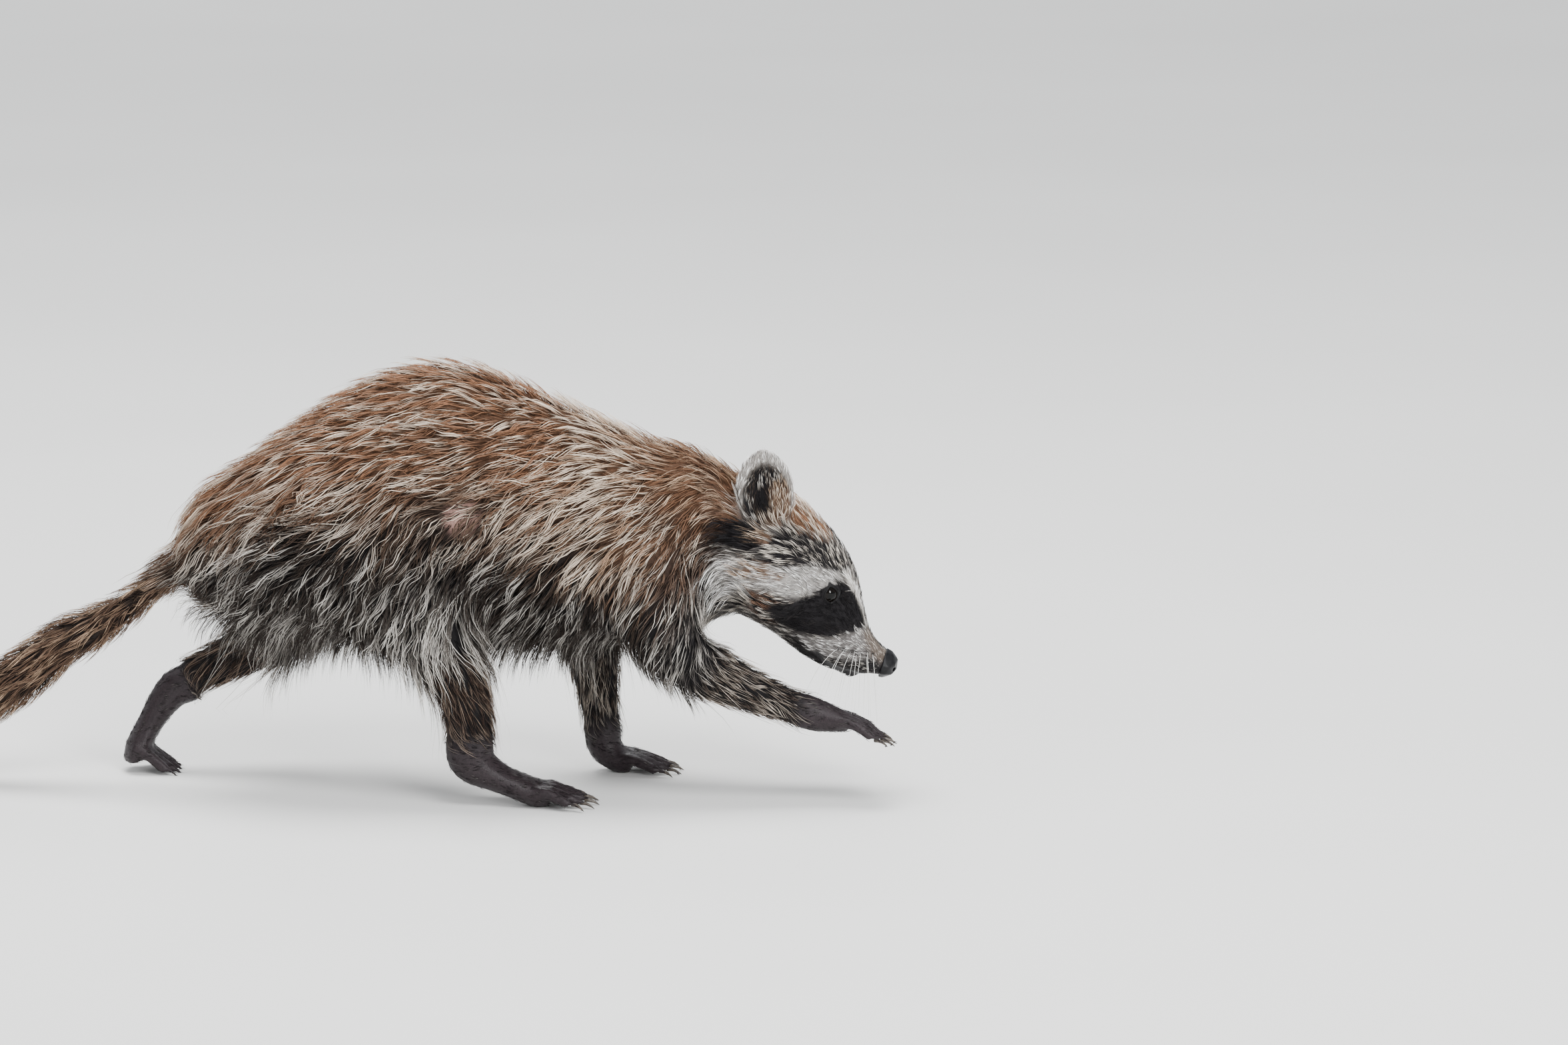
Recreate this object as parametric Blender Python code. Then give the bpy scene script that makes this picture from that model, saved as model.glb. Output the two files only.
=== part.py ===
"""A life-size walking raccoon, modelled as solids that reach to the tips of its coat.

+X points to the nose, +Y to the animal's left and +Z up. The floor is z = 0, and the origin lies on it
under the middle of the animal's bounding box. Metres throughout.

The flesh is modelled whole: lofted masses are joined, remeshed and smoothed into one form, which thin cuts
then part into head, neck, trunk, tail and limbs. Paws, ears, eyes and nose pad are made finer, one by one.
"""

import math

import bmesh
import bpy
import numpy as np
from mathutils import Matrix, Vector

GAP = 0.0004  # between neighbouring solids
SIDES = 28  # points round a lofted section of the body
EAR_SIDES, DIGIT_SIDES, CLAW_SIDES = 24, 12, 6
STEPS, DIGIT_STEPS, CLAW_STEPS = 5, 3, 1  # rings from one given section to the next
MASS_SEGMENTS, BALL_SEGMENTS, HOLLOW_SEGMENTS, NOSTRIL_SEGMENTS = 24, 16, 14, 12
FLOOR_BREADTH = 2.0
TAU = 2 * math.pi

# The head's own frame: s runs back from the nose tip along the skull, h rises from that line.
NOSE_TIP = Vector((0.3035, -0.0100, 0.0755))
HEAD_PITCH = math.radians(42.5)  # nose down
HEAD_TILT = math.radians(10.0)  # about the x axis, right ear up
AHEAD = Vector((1.0, 0.0, 0.0))
LEFT = Vector((0.0, 1.0, 0.0))
UP = Vector((0.0, 0.0, 1.0))
WORLD_AXES = (AHEAD, LEFT, UP)
TILTED_UP = UP * math.cos(HEAD_TILT) + LEFT * math.sin(HEAD_TILT)
HEAD_LEFT = LEFT * math.cos(HEAD_TILT) - UP * math.sin(HEAD_TILT)
HEAD_BACK = TILTED_UP * math.sin(HEAD_PITCH) - AHEAD * math.cos(HEAD_PITCH)
HEAD_UP = TILTED_UP * math.cos(HEAD_PITCH) + AHEAD * math.sin(HEAD_PITCH)
HEAD_AXES = (HEAD_BACK, HEAD_LEFT, HEAD_UP)

# Sections of the head: s, top h, bottom h, half width.
HEAD = {
    "nose_front": (0.0004, -0.0005, -0.0072, 0.0052),
    "nose_pad": (0.0042, 0.0032, -0.0115, 0.0086),
    "nose_back": (0.0095, 0.0044, -0.0152, 0.0098),
    "lips": (0.0150, 0.0032, -0.0190, 0.0122),
    "whisker_pads": (0.0240, 0.0040, -0.0262, 0.0168),
    "muzzle_root": (0.0340, 0.0088, -0.0308, 0.0200),
    "stop": (0.0450, 0.0170, -0.0332, 0.0248),
    "eyes": (0.0580, 0.0260, -0.0345, 0.0312),
    "forehead": (0.0720, 0.0316, -0.0362, 0.0390),
    "cheeks": (0.0860, 0.0348, -0.0400, 0.0490),
    "ruff": (0.1010, 0.0365, -0.0445, 0.0550),
    "ears": (0.1170, 0.0362, -0.0480, 0.0530),
    "occiput": (0.1330, 0.0315, -0.0500, 0.0475),
    "nape": (0.1500, 0.0255, -0.0520, 0.0425),
}
WIDEST_IN_HEAD = 0.42  # height of the widest level, as a share of a section's height

# Sections of the trunk: x, top z, bottom z, half width.
TRUNK = {
    "tail_root": (-0.1300, 0.1650, 0.1340, 0.0140),
    "rump": (-0.1150, 0.1870, 0.1120, 0.0340),
    "pelvis": (-0.0850, 0.2090, 0.0980, 0.0500),
    "hips": (-0.0500, 0.2335, 0.0930, 0.0600),
    "loin": (-0.0100, 0.2560, 0.0940, 0.0655),
    "back": (0.0280, 0.2640, 0.0910, 0.0675),
    "belly": (0.0600, 0.2590, 0.0890, 0.0670),
    "ribs": (0.0950, 0.2435, 0.0870, 0.0640),
    "chest": (0.1300, 0.2295, 0.0870, 0.0600),
    "withers": (0.1580, 0.2185, 0.0890, 0.0555),
    "neck_root": (0.1820, 0.2110, 0.0930, 0.0500),
    "neck": (0.2050, 0.1965, 0.1060, 0.0435),
}
WIDEST_IN_TRUNK = 0.44

# Sections of tail and limbs: x, y, z of the centre, radius across the path, half width.
TAIL = {
    "root": (-0.1000, 0.000, 0.1600, 0.0200, 0.0190),
    "base": (-0.1220, 0.001, 0.1420, 0.0155, 0.0152),
    "fore": (-0.1400, 0.002, 0.1265, 0.0124, 0.0124),
    "mid": (-0.1600, 0.004, 0.1105, 0.0130, 0.0130),
    "full": (-0.1800, 0.006, 0.0975, 0.0155, 0.0155),
    "rings": (-0.2000, 0.008, 0.0870, 0.0172, 0.0172),
    "rear": (-0.2300, 0.011, 0.0630, 0.0182, 0.0182),
    "thin": (-0.2620, 0.014, 0.0420, 0.0176, 0.0176),
    "brush": (-0.2870, 0.016, 0.0320, 0.0148, 0.0148),
    "tip": (-0.3050, 0.017, 0.0280, 0.0070, 0.0070),
}
HIND_RIGHT = {
    "hip": (-0.0620, -0.026, 0.1740, 0.0520, 0.0360),
    "thigh": (-0.0220, -0.040, 0.1460, 0.0440, 0.0310),
    "knee": (0.0200, -0.051, 0.1140, 0.0310, 0.0250),
    "calf": (0.0360, -0.055, 0.0880, 0.0225, 0.0200),
    "shin": (0.0450, -0.056, 0.0640, 0.0172, 0.0165),
    "ankle": (0.0470, -0.055, 0.0400, 0.0155, 0.0135),
    "end": (0.0460, -0.055, 0.0260, 0.0130, 0.0120),
}
HIND_LEFT = {
    "hip": (-0.0680, 0.026, 0.1720, 0.0500, 0.0360),
    "thigh": (-0.0560, 0.040, 0.1360, 0.0410, 0.0310),
    "knee": (-0.0480, 0.051, 0.1050, 0.0240, 0.0235),
    "calf": (-0.0770, 0.053, 0.0845, 0.0195, 0.0183),
    "shin": (-0.1050, 0.053, 0.0680, 0.0152, 0.0144),
    "hock": (-0.1270, 0.052, 0.0580, 0.0128, 0.0118),
    "end": (-0.1380, 0.052, 0.0530, 0.0115, 0.0110),
}
FORE_RIGHT = {
    "blade": (0.1200, -0.030, 0.1680, 0.0430, 0.0300),
    "shoulder": (0.1500, -0.040, 0.1320, 0.0370, 0.0270),
    "elbow": (0.1700, -0.048, 0.0940, 0.0230, 0.0190),
    "forearm": (0.2050, -0.049, 0.0730, 0.0158, 0.0145),
    "wrist": (0.2440, -0.048, 0.0570, 0.0115, 0.0112),
    "end": (0.2600, -0.048, 0.0505, 0.0098, 0.0108),
}
FORE_LEFT = {
    "blade": (0.1150, 0.030, 0.1660, 0.0430, 0.0300),
    "shoulder": (0.1450, 0.040, 0.1280, 0.0370, 0.0270),
    "elbow": (0.1180, 0.047, 0.0980, 0.0240, 0.0195),
    "forearm": (0.1200, 0.048, 0.0620, 0.0165, 0.0150),
    "wrist": (0.1240, 0.047, 0.0300, 0.0122, 0.0118),
    "end": (0.1260, 0.047, 0.0200, 0.0105, 0.0110),
}

# Where a limb is parted: the point that ends its upper part and the point that ends its lower part, each
# with the direction in which the limb goes on; then the block that holds what shows of the upper part.
LIMBS = {
    "hind_right": {
        "sections": HIND_RIGHT,
        "lower_cut": ((0.0330, -0.055, 0.0980), (0.30, 0.0, -0.95)),
        "paw_cut": ((0.0470, -0.055, 0.0400), (0.06, 0.0, -1.0)),
        "upper_block": ((0.0040, -0.0830, 0.0950), (0.60, 0.0, -0.80), (0.1350, 0.0900, 0.1150)),
        "names": ("thigh_right", "shank_right", "hind_foot_right"),
    },
    "hind_left": {
        "sections": HIND_LEFT,
        "lower_cut": ((-0.0720, 0.052, 0.0860), (-0.89, 0.0, -0.45)),
        "paw_cut": ((-0.1270, 0.052, 0.0580), (-0.91, 0.0, -0.42)),
        "upper_block": ((-0.0540, 0.0830, 0.1000), (0.10, 0.0, -1.0), (0.1200, 0.0900, 0.1150)),
        "names": ("thigh_left", "shank_left", "hind_foot_left"),
    },
    "fore_right": {
        "sections": FORE_RIGHT,
        "lower_cut": ((0.1850, -0.048, 0.0850), (0.86, 0.0, -0.50)),
        "paw_cut": ((0.2440, -0.048, 0.0575), (0.94, 0.0, -0.32)),
        "upper_block": ((0.1584, -0.0790, 0.0918), (0.42, 0.0, -0.91), (0.1300, 0.0900, 0.0900)),
        "names": ("upper_arm_right", "forearm_right", "hand_right"),
    },
    "fore_left": {
        "sections": FORE_LEFT,
        "lower_cut": ((0.1180, 0.047, 0.0840), (0.05, 0.0, -1.0)),
        "paw_cut": ((0.1240, 0.047, 0.0300), (0.15, 0.0, -1.0)),
        "upper_block": ((0.1310, 0.0790, 0.1150), (-0.42, 0.0, -0.91), (0.0900, 0.0900, 0.0950)),
        "names": ("upper_arm_left", "forearm_left", "hand_left"),
    },
}
LOWER_REACH, LOWER_BREADTH = 0.1200, 0.0420  # of the block that takes a lower leg off
REACH = 0.3000  # of a block that takes off all that lies beyond its near face

# How a digit lies: share of its length, lift off its line as a share of the same, thickness.
PRESSED = ((-0.25, 0.02, 1.25), (0.25, 0.12, 1.05), (0.65, 0.05, 0.95), (1.0, -0.06, 0.88))
DRAPED = ((-0.25, 0.00, 1.20), (0.30, 0.08, 1.00), (0.70, 0.00, 0.92), (1.0, -0.14, 0.82))
BENT = ((-0.15, 0.16, 1.25), (0.25, 0.14, 1.10), (0.65, 0.03, 0.95), (1.0, -0.08, 0.88))

PAWS = {
    "hind_foot_right": {
        "sections": {
            "shin": (0.0465, -0.055, 0.0520, 0.0162, 0.0150),
            "ankle": (0.0470, -0.055, 0.0400, 0.0155, 0.0135),
            "heel": (0.0490, -0.055, 0.0290, 0.0135, 0.0125),
            "instep": (0.0660, -0.054, 0.0185, 0.0088, 0.0130),
            "ball": (0.0870, -0.053, 0.0100, 0.0078, 0.0160),
            "toe_roots": (0.0950, -0.053, 0.0075, 0.0058, 0.0135),
        },
        "lengths": (0.0220, 0.0260, 0.0275, 0.0265, 0.0210),
        "heading": (1.0, -0.06, -0.08),
        "spread": 0.36,
        "knuckles": PRESSED,
        "grounded": True,
    },
    "hind_foot_left": {
        "sections": {
            "shin": (-0.1160, 0.052, 0.0630, 0.0140, 0.0130),
            "hock": (-0.1270, 0.052, 0.0580, 0.0128, 0.0118),
            "heel": (-0.1380, 0.052, 0.0520, 0.0110, 0.0110),
            "instep": (-0.1500, 0.051, 0.0350, 0.0082, 0.0112),
            "ball": (-0.1600, 0.050, 0.0155, 0.0078, 0.0145),
            "toe_roots": (-0.1595, 0.050, 0.0098, 0.0062, 0.0130),
        },
        "lengths": (0.0210, 0.0245, 0.0260, 0.0250, 0.0200),
        "heading": (1.0, 0.10, -0.36),
        "spread": 0.34,
        "knuckles": BENT,
        "grounded": True,
    },
    "hand_right": {
        "sections": {
            "forearm": (0.2330, -0.048, 0.0612, 0.0122, 0.0118),
            "wrist": (0.2440, -0.048, 0.0570, 0.0115, 0.0112),
            "heel": (0.2550, -0.048, 0.0535, 0.0100, 0.0110),
            "palm": (0.2650, -0.048, 0.0510, 0.0078, 0.0122),
            "finger_roots": (0.2735, -0.048, 0.0492, 0.0056, 0.0112),
        },
        "lengths": (0.0235, 0.0275, 0.0290, 0.0275, 0.0210),
        "heading": (0.96, 0.06, -0.22),
        "spread": 0.30,
        "knuckles": DRAPED,
        "grounded": False,
    },
    "hand_left": {
        "sections": {
            "forearm": (0.1225, 0.047, 0.0420, 0.0140, 0.0130),
            "wrist": (0.1240, 0.047, 0.0300, 0.0122, 0.0118),
            "heel": (0.1260, 0.047, 0.0180, 0.0108, 0.0115),
            "palm": (0.1350, 0.047, 0.0100, 0.0078, 0.0135),
            "finger_roots": (0.1420, 0.047, 0.0075, 0.0056, 0.0115),
        },
        "lengths": (0.0235, 0.0275, 0.0290, 0.0275, 0.0210),
        "heading": (1.0, 0.06, -0.08),
        "spread": 0.42,
        "knuckles": PRESSED,
        "grounded": True,
    },
}
DIGIT_RADIUS = 0.0038
CLAW_LENGTH = 0.0085
CLAW_RADIUS = 0.0014
CLAW_BENDS = ((-0.45, -0.05, 1.15), (0.35, -0.08, 1.0), (0.80, 0.10, 0.70), (1.10, 0.34, 0.30))
SOLE_SINK = 0.0009  # how far a pad is let into the floor before its flat is cut
ROOT_FAN = 0.75  # how far out the outer digits start, as a share of the ball's half width

# Rounded masses on the head that its sections leave out: s, y, h and the three radii.
HEAD_MASSES = {
    "brow": (0.0610, 0.0195, 0.0145, 0.0125, 0.0075, 0.0055),
    "cheek": (0.0900, 0.0350, -0.0140, 0.0240, 0.0185, 0.0220),
    "whisker_pad": (0.0210, 0.0090, -0.0110, 0.0125, 0.0085, 0.0105),
    "chin": (0.0270, 0.0000, -0.0205, 0.0130, 0.0095, 0.0065),
}
HEAD_CUT_AT = (0.1980, 0.0, 0.1500)  # where the head is parted from the neck
HEAD_CUT_AXIS = (1.0, 0.0, 0.02)
NECK_SECTIONS = slice(-3, None)  # the trunk's sections that run on into the head
NECK_CUT_AT = (0.1580, 0.0, 0.1550)  # where the neck is parted from the trunk
NECK_CUT_AXIS = (0.98, 0.0, -0.20)
TAIL_BREADTH = 0.0800  # of the blocks that take the tail off
TAIL_CUTS = (
    ("tail_base", (-0.1330, 0.0, 0.1390), (-0.66, 0.0, -0.75)),
    ("tail_tip", (-0.2120, 0.0, 0.0770), (-0.82, 0.0, -0.57)),
)

EYE_AT = (0.0630, 0.0245, 0.0045)  # s, y, h of an eyeball's centre
EYE_RADIUS = 0.0078
NOSE_CUT_AT = (0.0098, 0.0, -0.0030)  # where the bare pad ends, s, y, h
NOSE_CUT_TILT = math.radians(-25)
NOSTRIL_AT = (0.0030, 0.0042, -0.0030)
NOSTRIL_RADII = (0.0034, 0.0015, 0.0019)

EAR_ROOT = (0.1175, 0.0370, 0.0110)  # s, y, h of the middle of a left ear's root
EAR_LENGTH = 0.0445
EAR_LEAN = (0.70, 0.25, 0.67)  # a left ear from root to tip, in the head's frame
EAR_FACING = (-0.28, 0.94, -0.10)  # where it opens
EAR_SECTIONS = {  # share of the length, half width, half thickness
    "root": (-0.15, 0.0135, 0.0105),
    "low": (0.15, 0.0175, 0.0100),
    "broad": (0.42, 0.0184, 0.0075),
    "high": (0.68, 0.0160, 0.0055),
    "shoulder": (0.87, 0.0110, 0.0042),
    "tip": (0.985, 0.0040, 0.0024),
}
EAR_CUP_AT = 0.47  # share of the length where the hollow is centred
EAR_CUP_RADII = (0.0205, 0.0142, 0.0105)  # along the ear, across it, into it
EAR_CUP_OUT = 0.0095  # the hollow's centre lies this far outside the ear's middle

BODY_VOXEL, BODY_SMOOTHING, BODY_TRIANGLES = 0.0026, 10, 2400
HEAD_VOXEL, HEAD_SMOOTHING, HEAD_TRIANGLES = 0.0013, 6, 1300
PAW_VOXEL, PAW_SMOOTHING, PAW_TRIANGLES = 0.0010, 2, 300
EAR_VOXEL, EAR_SMOOTHING, EAR_TRIANGLES = 0.0010, 4, 170

COLOURS = {  # colour and roughness
    "coat_grizzled": ((0.30, 0.21, 0.14), 0.85),
    "coat_legs": ((0.09, 0.075, 0.065), 0.80),
    "coat_face": ((0.38, 0.35, 0.31), 0.85),
    "coat_ears": ((0.45, 0.41, 0.36), 0.85),
    "coat_tail": ((0.24, 0.16, 0.11), 0.85),
    "bare_paws": ((0.045, 0.04, 0.042), 0.55),
    "eyes": ((0.012, 0.009, 0.008), 0.08),
    "nose_pad": ((0.02, 0.02, 0.022), 0.35),
}


def clear_scene():
    for obj in list(bpy.data.objects):
        bpy.data.objects.remove(obj)


def material(name):
    found = bpy.data.materials.get(name)
    if found:
        return found
    colour, roughness = COLOURS[name]
    made = bpy.data.materials.new(name)
    made.use_nodes = True
    shader = made.node_tree.nodes["Principled BSDF"]
    shader.inputs["Base Color"].default_value = (*colour, 1.0)
    shader.inputs["Roughness"].default_value = roughness
    shader.inputs["Metallic"].default_value = 0.0
    return made


def head_point(s, y, h):
    """A point of the head's own frame in world space."""
    return NOSE_TIP + HEAD_BACK * s + HEAD_LEFT * y + HEAD_UP * h


def head_direction(along, side):
    """A direction of the head's own frame, given for the left, on either side."""
    return HEAD_BACK * along[0] + HEAD_LEFT * (side * along[1]) + HEAD_UP * along[2]


def smooth_rows(rows, steps=STEPS):
    """Rows of numbers with Catmull-Rom rows put between them."""
    rows = np.array(rows, float)
    padded = np.vstack([2 * rows[0] - rows[1], rows, 2 * rows[-1] - rows[-2]])
    found = []
    for before, start, end, after in zip(padded, padded[1:], padded[2:], padded[3:]):
        for t in np.arange(steps) / steps:
            slope = 0.5 * t * (end - before)
            bend = t**2 * (before - 2.5 * start + 2 * end - 0.5 * after)
            twist = t**3 * (1.5 * (start - end) + 0.5 * (after - before))
            found.append(start + slope + bend + twist)
    return np.array([*found, rows[-1]])


def object_from(bm, name):
    bmesh.ops.recalc_face_normals(bm, faces=bm.faces)
    mesh = bpy.data.meshes.new(name)
    bm.to_mesh(mesh)
    bm.free()
    obj = bpy.data.objects.new(name, mesh)
    bpy.context.scene.collection.objects.link(obj)
    return obj


def loft(name, rings):
    """A closed skin over rings of points, each ring with the same number of them."""
    bm = bmesh.new()
    loops = [[bm.verts.new(point) for point in ring] for ring in rings]
    for ring, following in zip(loops, loops[1:]):
        for i, vert in enumerate(ring):
            j = (i + 1) % len(ring)
            bm.faces.new((vert, ring[j], following[j], following[i]))
    bm.faces.new(loops[0])
    bm.faces.new(loops[-1][::-1])
    return object_from(bm, name)


def egg_ring(centre, side, up, half_width, rise, drop, sides=SIDES):
    """An oval about centre: half_width along side, rise above and drop below it along up."""
    ring = []
    for angle in np.arange(sides) / sides * TAU:
        height = math.sin(angle) * (rise if math.sin(angle) > 0 else drop)
        ring.append(centre + side * (half_width * math.cos(angle)) + up * height)
    return ring


def head_loft():
    rings = []
    for s, top, bottom, half_width in smooth_rows(list(HEAD.values())):
        widest = bottom + WIDEST_IN_HEAD * (top - bottom)
        centre = head_point(s, 0.0, widest)
        rings.append(egg_ring(centre, HEAD_LEFT, HEAD_UP, half_width, top - widest, widest - bottom))
    return loft("head_mass", rings)


def trunk_loft(sections):
    rings = []
    for x, top, bottom, half_width in smooth_rows(sections):
        widest = bottom + WIDEST_IN_TRUNK * (top - bottom)
        centre = Vector((x, 0.0, widest))
        rings.append(egg_ring(centre, LEFT, UP, half_width, top - widest, widest - bottom))
    return loft("trunk_mass", rings)


def tube(name, sections, side=LEFT, steps=STEPS, sides=SIDES):
    """A limb through sections of x, y, z, radius across the path and half width along side."""
    rows = smooth_rows(sections, steps)
    centres = [Vector(row[:3]) for row in rows]
    rings = []
    for i, row in enumerate(rows):
        along = (centres[min(i + 1, len(rows) - 1)] - centres[max(i - 1, 0)]).normalized()
        across = (side - along * side.dot(along)).normalized()
        rings.append(egg_ring(centres[i], across, along.cross(across), row[4], row[3], row[3], sides))
    return loft(name, rings)


def placed(bm, name, centre, axes, size):
    """A unit shape stretched to size along three unit axes and moved to centre."""
    turn = Matrix([axis * length for axis, length in zip(axes, size)]).transposed().to_4x4()
    bmesh.ops.transform(bm, matrix=Matrix.Translation(centre) @ turn, verts=bm.verts)
    return object_from(bm, name)


def ellipsoid(name, centre, axes, radii, segments=MASS_SEGMENTS):
    bm = bmesh.new()
    bmesh.ops.create_uvsphere(bm, u_segments=segments, v_segments=segments // 2, radius=1.0)
    return placed(bm, name, centre, axes, radii)


def block(name, centre, axes, size):
    bm = bmesh.new()
    bmesh.ops.create_cube(bm, size=1.0)
    return placed(bm, name, centre, axes, size)


def bake_modifiers(obj):
    """The object's modifiers made permanent."""
    graph = bpy.context.evaluated_depsgraph_get()
    mesh = bpy.data.meshes.new_from_object(obj.evaluated_get(graph))
    obj.modifiers.clear()
    obj.data = mesh
    return obj


def joined(name, objects):
    """The objects' meshes in one object, still as overlapping shells."""
    bm = bmesh.new()
    for obj in objects:
        bm.from_mesh(obj.data)
        bpy.data.objects.remove(obj)
    return object_from(bm, name)


def melted(obj, voxel, smoothing, triangles):
    """Overlapping shells made one smooth form of about that many triangles."""
    remesh = obj.modifiers.new("Remesh", "REMESH")
    remesh.mode = "VOXEL"
    remesh.voxel_size = voxel
    soften = obj.modifiers.new("Soften", "SMOOTH")
    soften.factor = 0.5
    soften.iterations = smoothing
    bake_modifiers(obj)
    thin = obj.modifiers.new("Thin", "DECIMATE")
    thin.ratio = min(1.0, triangles / (2 * len(obj.data.polygons)))
    bake_modifiers(obj)
    thirds = obj.modifiers.new("Thirds", "TRIANGULATE")
    thirds.keep_custom_normals = False
    return bake_modifiers(obj)


def cut(obj, cutter, operation):
    """obj after one exact Boolean with cutter."""
    boolean = obj.modifiers.new("Cut", "BOOLEAN")
    boolean.operation = operation
    boolean.solver = "EXACT"
    boolean.object = cutter
    return bake_modifiers(obj)


def cut_away(obj, cutter, operation="DIFFERENCE"):
    """One exact Boolean with a cutter that isn't needed afterwards."""
    cut(obj, cutter, operation)
    bpy.data.objects.remove(cutter)
    return obj


def copy_of(obj, name):
    copied = bpy.data.objects.new(name, obj.data.copy())
    bpy.context.scene.collection.objects.link(copied)
    return copied


def part_off(rest, name, centre, axes, size):
    """Takes what lies in a block off rest as a solid of its own, with a gap left between them."""
    inner = block("inner", centre, axes, [edge - GAP for edge in size])
    piece = cut_away(copy_of(rest, name), inner, "INTERSECT")
    cut_away(rest, block("outer", centre, axes, [edge + GAP for edge in size]))
    return piece


def axes_along(direction):
    """Three unit axes: along direction, across it near the animal's left, and the third."""
    along = Vector(direction).normalized()
    across = (LEFT - along * LEFT.dot(along)).normalized()
    return along, across, along.cross(across)


def beyond(point, direction, length, breadth, depth):
    """Centre, axes and size of a block whose near face is square to direction at point."""
    axes = axes_along(direction)
    return Vector(point) + axes[0] * (length / 2), axes, (length, breadth, depth)


def head_masses():
    masses = [head_loft()]
    for s, y, h, long, wide, tall in HEAD_MASSES.values():
        for side in (1, -1) if y else (1,):
            centre = head_point(s, side * y, h)
            masses.append(ellipsoid("head_mass", centre, HEAD_AXES, (long, wide, tall)))
    return masses


def whole_body():
    """Head, trunk, tail and limbs as one form."""
    masses = head_masses()
    masses.append(trunk_loft(list(TRUNK.values())))
    masses.append(tube("tail_mass", list(TAIL.values())))
    for limb in LIMBS.values():
        masses.append(tube("limb_mass", list(limb["sections"].values())))
    return melted(joined("trunk", masses), BODY_VOXEL, BODY_SMOOTHING, BODY_TRIANGLES)


def head_from_neck(body):
    """The head, made finer than the body, in front of a cut that also ends the body's neck."""
    masses = head_masses()
    masses.append(trunk_loft(list(TRUNK.values())[NECK_SECTIONS]))
    whole = melted(joined("head_and_neck", masses), HEAD_VOXEL, HEAD_SMOOTHING, HEAD_TRIANGLES)
    ahead = beyond(HEAD_CUT_AT, HEAD_CUT_AXIS, REACH, REACH, REACH)
    head = part_off(whole, "head", *ahead)
    coarse = part_off(body, "coarse_head", *ahead)
    for spare in (whole, coarse):
        bpy.data.objects.remove(spare)
    return head


def nose_from(head):
    """The bare pad, with its two nostrils let in from the front."""
    direction = -HEAD_BACK * math.cos(NOSE_CUT_TILT) - HEAD_UP * math.sin(NOSE_CUT_TILT)
    nose = part_off(head, "nose", *beyond(head_point(*NOSE_CUT_AT), direction, REACH, REACH, REACH))
    s, y, h = NOSTRIL_AT
    for side in (1, -1):
        centre = head_point(s, side * y, h)
        cut_away(nose, ellipsoid("nostril", centre, HEAD_AXES, NOSTRIL_RADII, NOSTRIL_SEGMENTS))
    return nose


def eye(head, name, side):
    """An eyeball in a socket of its own."""
    s, y, h = EYE_AT
    centre = head_point(s, side * y, h)
    cut_away(head, ellipsoid("socket", centre, HEAD_AXES, [EYE_RADIUS + GAP] * 3, BALL_SEGMENTS))
    ball = ellipsoid(name, centre, HEAD_AXES, [EYE_RADIUS] * 3, BALL_SEGMENTS)
    ball.data.shade_smooth()
    return ball


def ear(head, name, side):
    """A rounded ear with a hollow inner face, set into the head."""
    s, y, h = EAR_ROOT
    root = head_point(s, side * y, h)
    lean = head_direction(EAR_LEAN, side).normalized()
    facing = head_direction(EAR_FACING, side)
    facing = (facing - lean * facing.dot(lean)).normalized()
    across = facing.cross(lean)
    rings = []
    for share, half_width, half_depth in smooth_rows(list(EAR_SECTIONS.values())):
        centre = root + lean * (share * EAR_LENGTH)
        rings.append(egg_ring(centre, across, facing, half_width, half_depth, half_depth, sides=EAR_SIDES))
    shell = melted(loft(name, rings), EAR_VOXEL, EAR_SMOOTHING, EAR_TRIANGLES)
    cut_away(head, grown(shell, "ear_socket", GAP))
    hollow_at = root + lean * (EAR_CUP_AT * EAR_LENGTH) + facing * EAR_CUP_OUT
    cut_away(shell, ellipsoid("hollow", hollow_at, (lean, across, facing), EAR_CUP_RADII, HOLLOW_SEGMENTS))
    return shell


def grown(obj, name, distance):
    """A copy with its surface moved outwards."""
    bm = bmesh.new()
    bm.from_mesh(obj.data)
    bm.normal_update()
    normals = [vert.normal.copy() for vert in bm.verts]
    for vert, normal in zip(bm.verts, normals):
        vert.co += normal * distance
    return object_from(bm, name)


def claw(tip, forward, up):
    """A curved claw that grows out of a digit's tip."""
    rows = []
    for share, drop, thick in CLAW_BENDS:
        centre = tip + forward * (share * CLAW_LENGTH) - up * (drop * CLAW_LENGTH)
        rows.append((*centre, CLAW_RADIUS * thick, CLAW_RADIUS * thick))
    return tube("claw", rows, up.cross(forward).normalized(), CLAW_STEPS, CLAW_SIDES)


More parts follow.
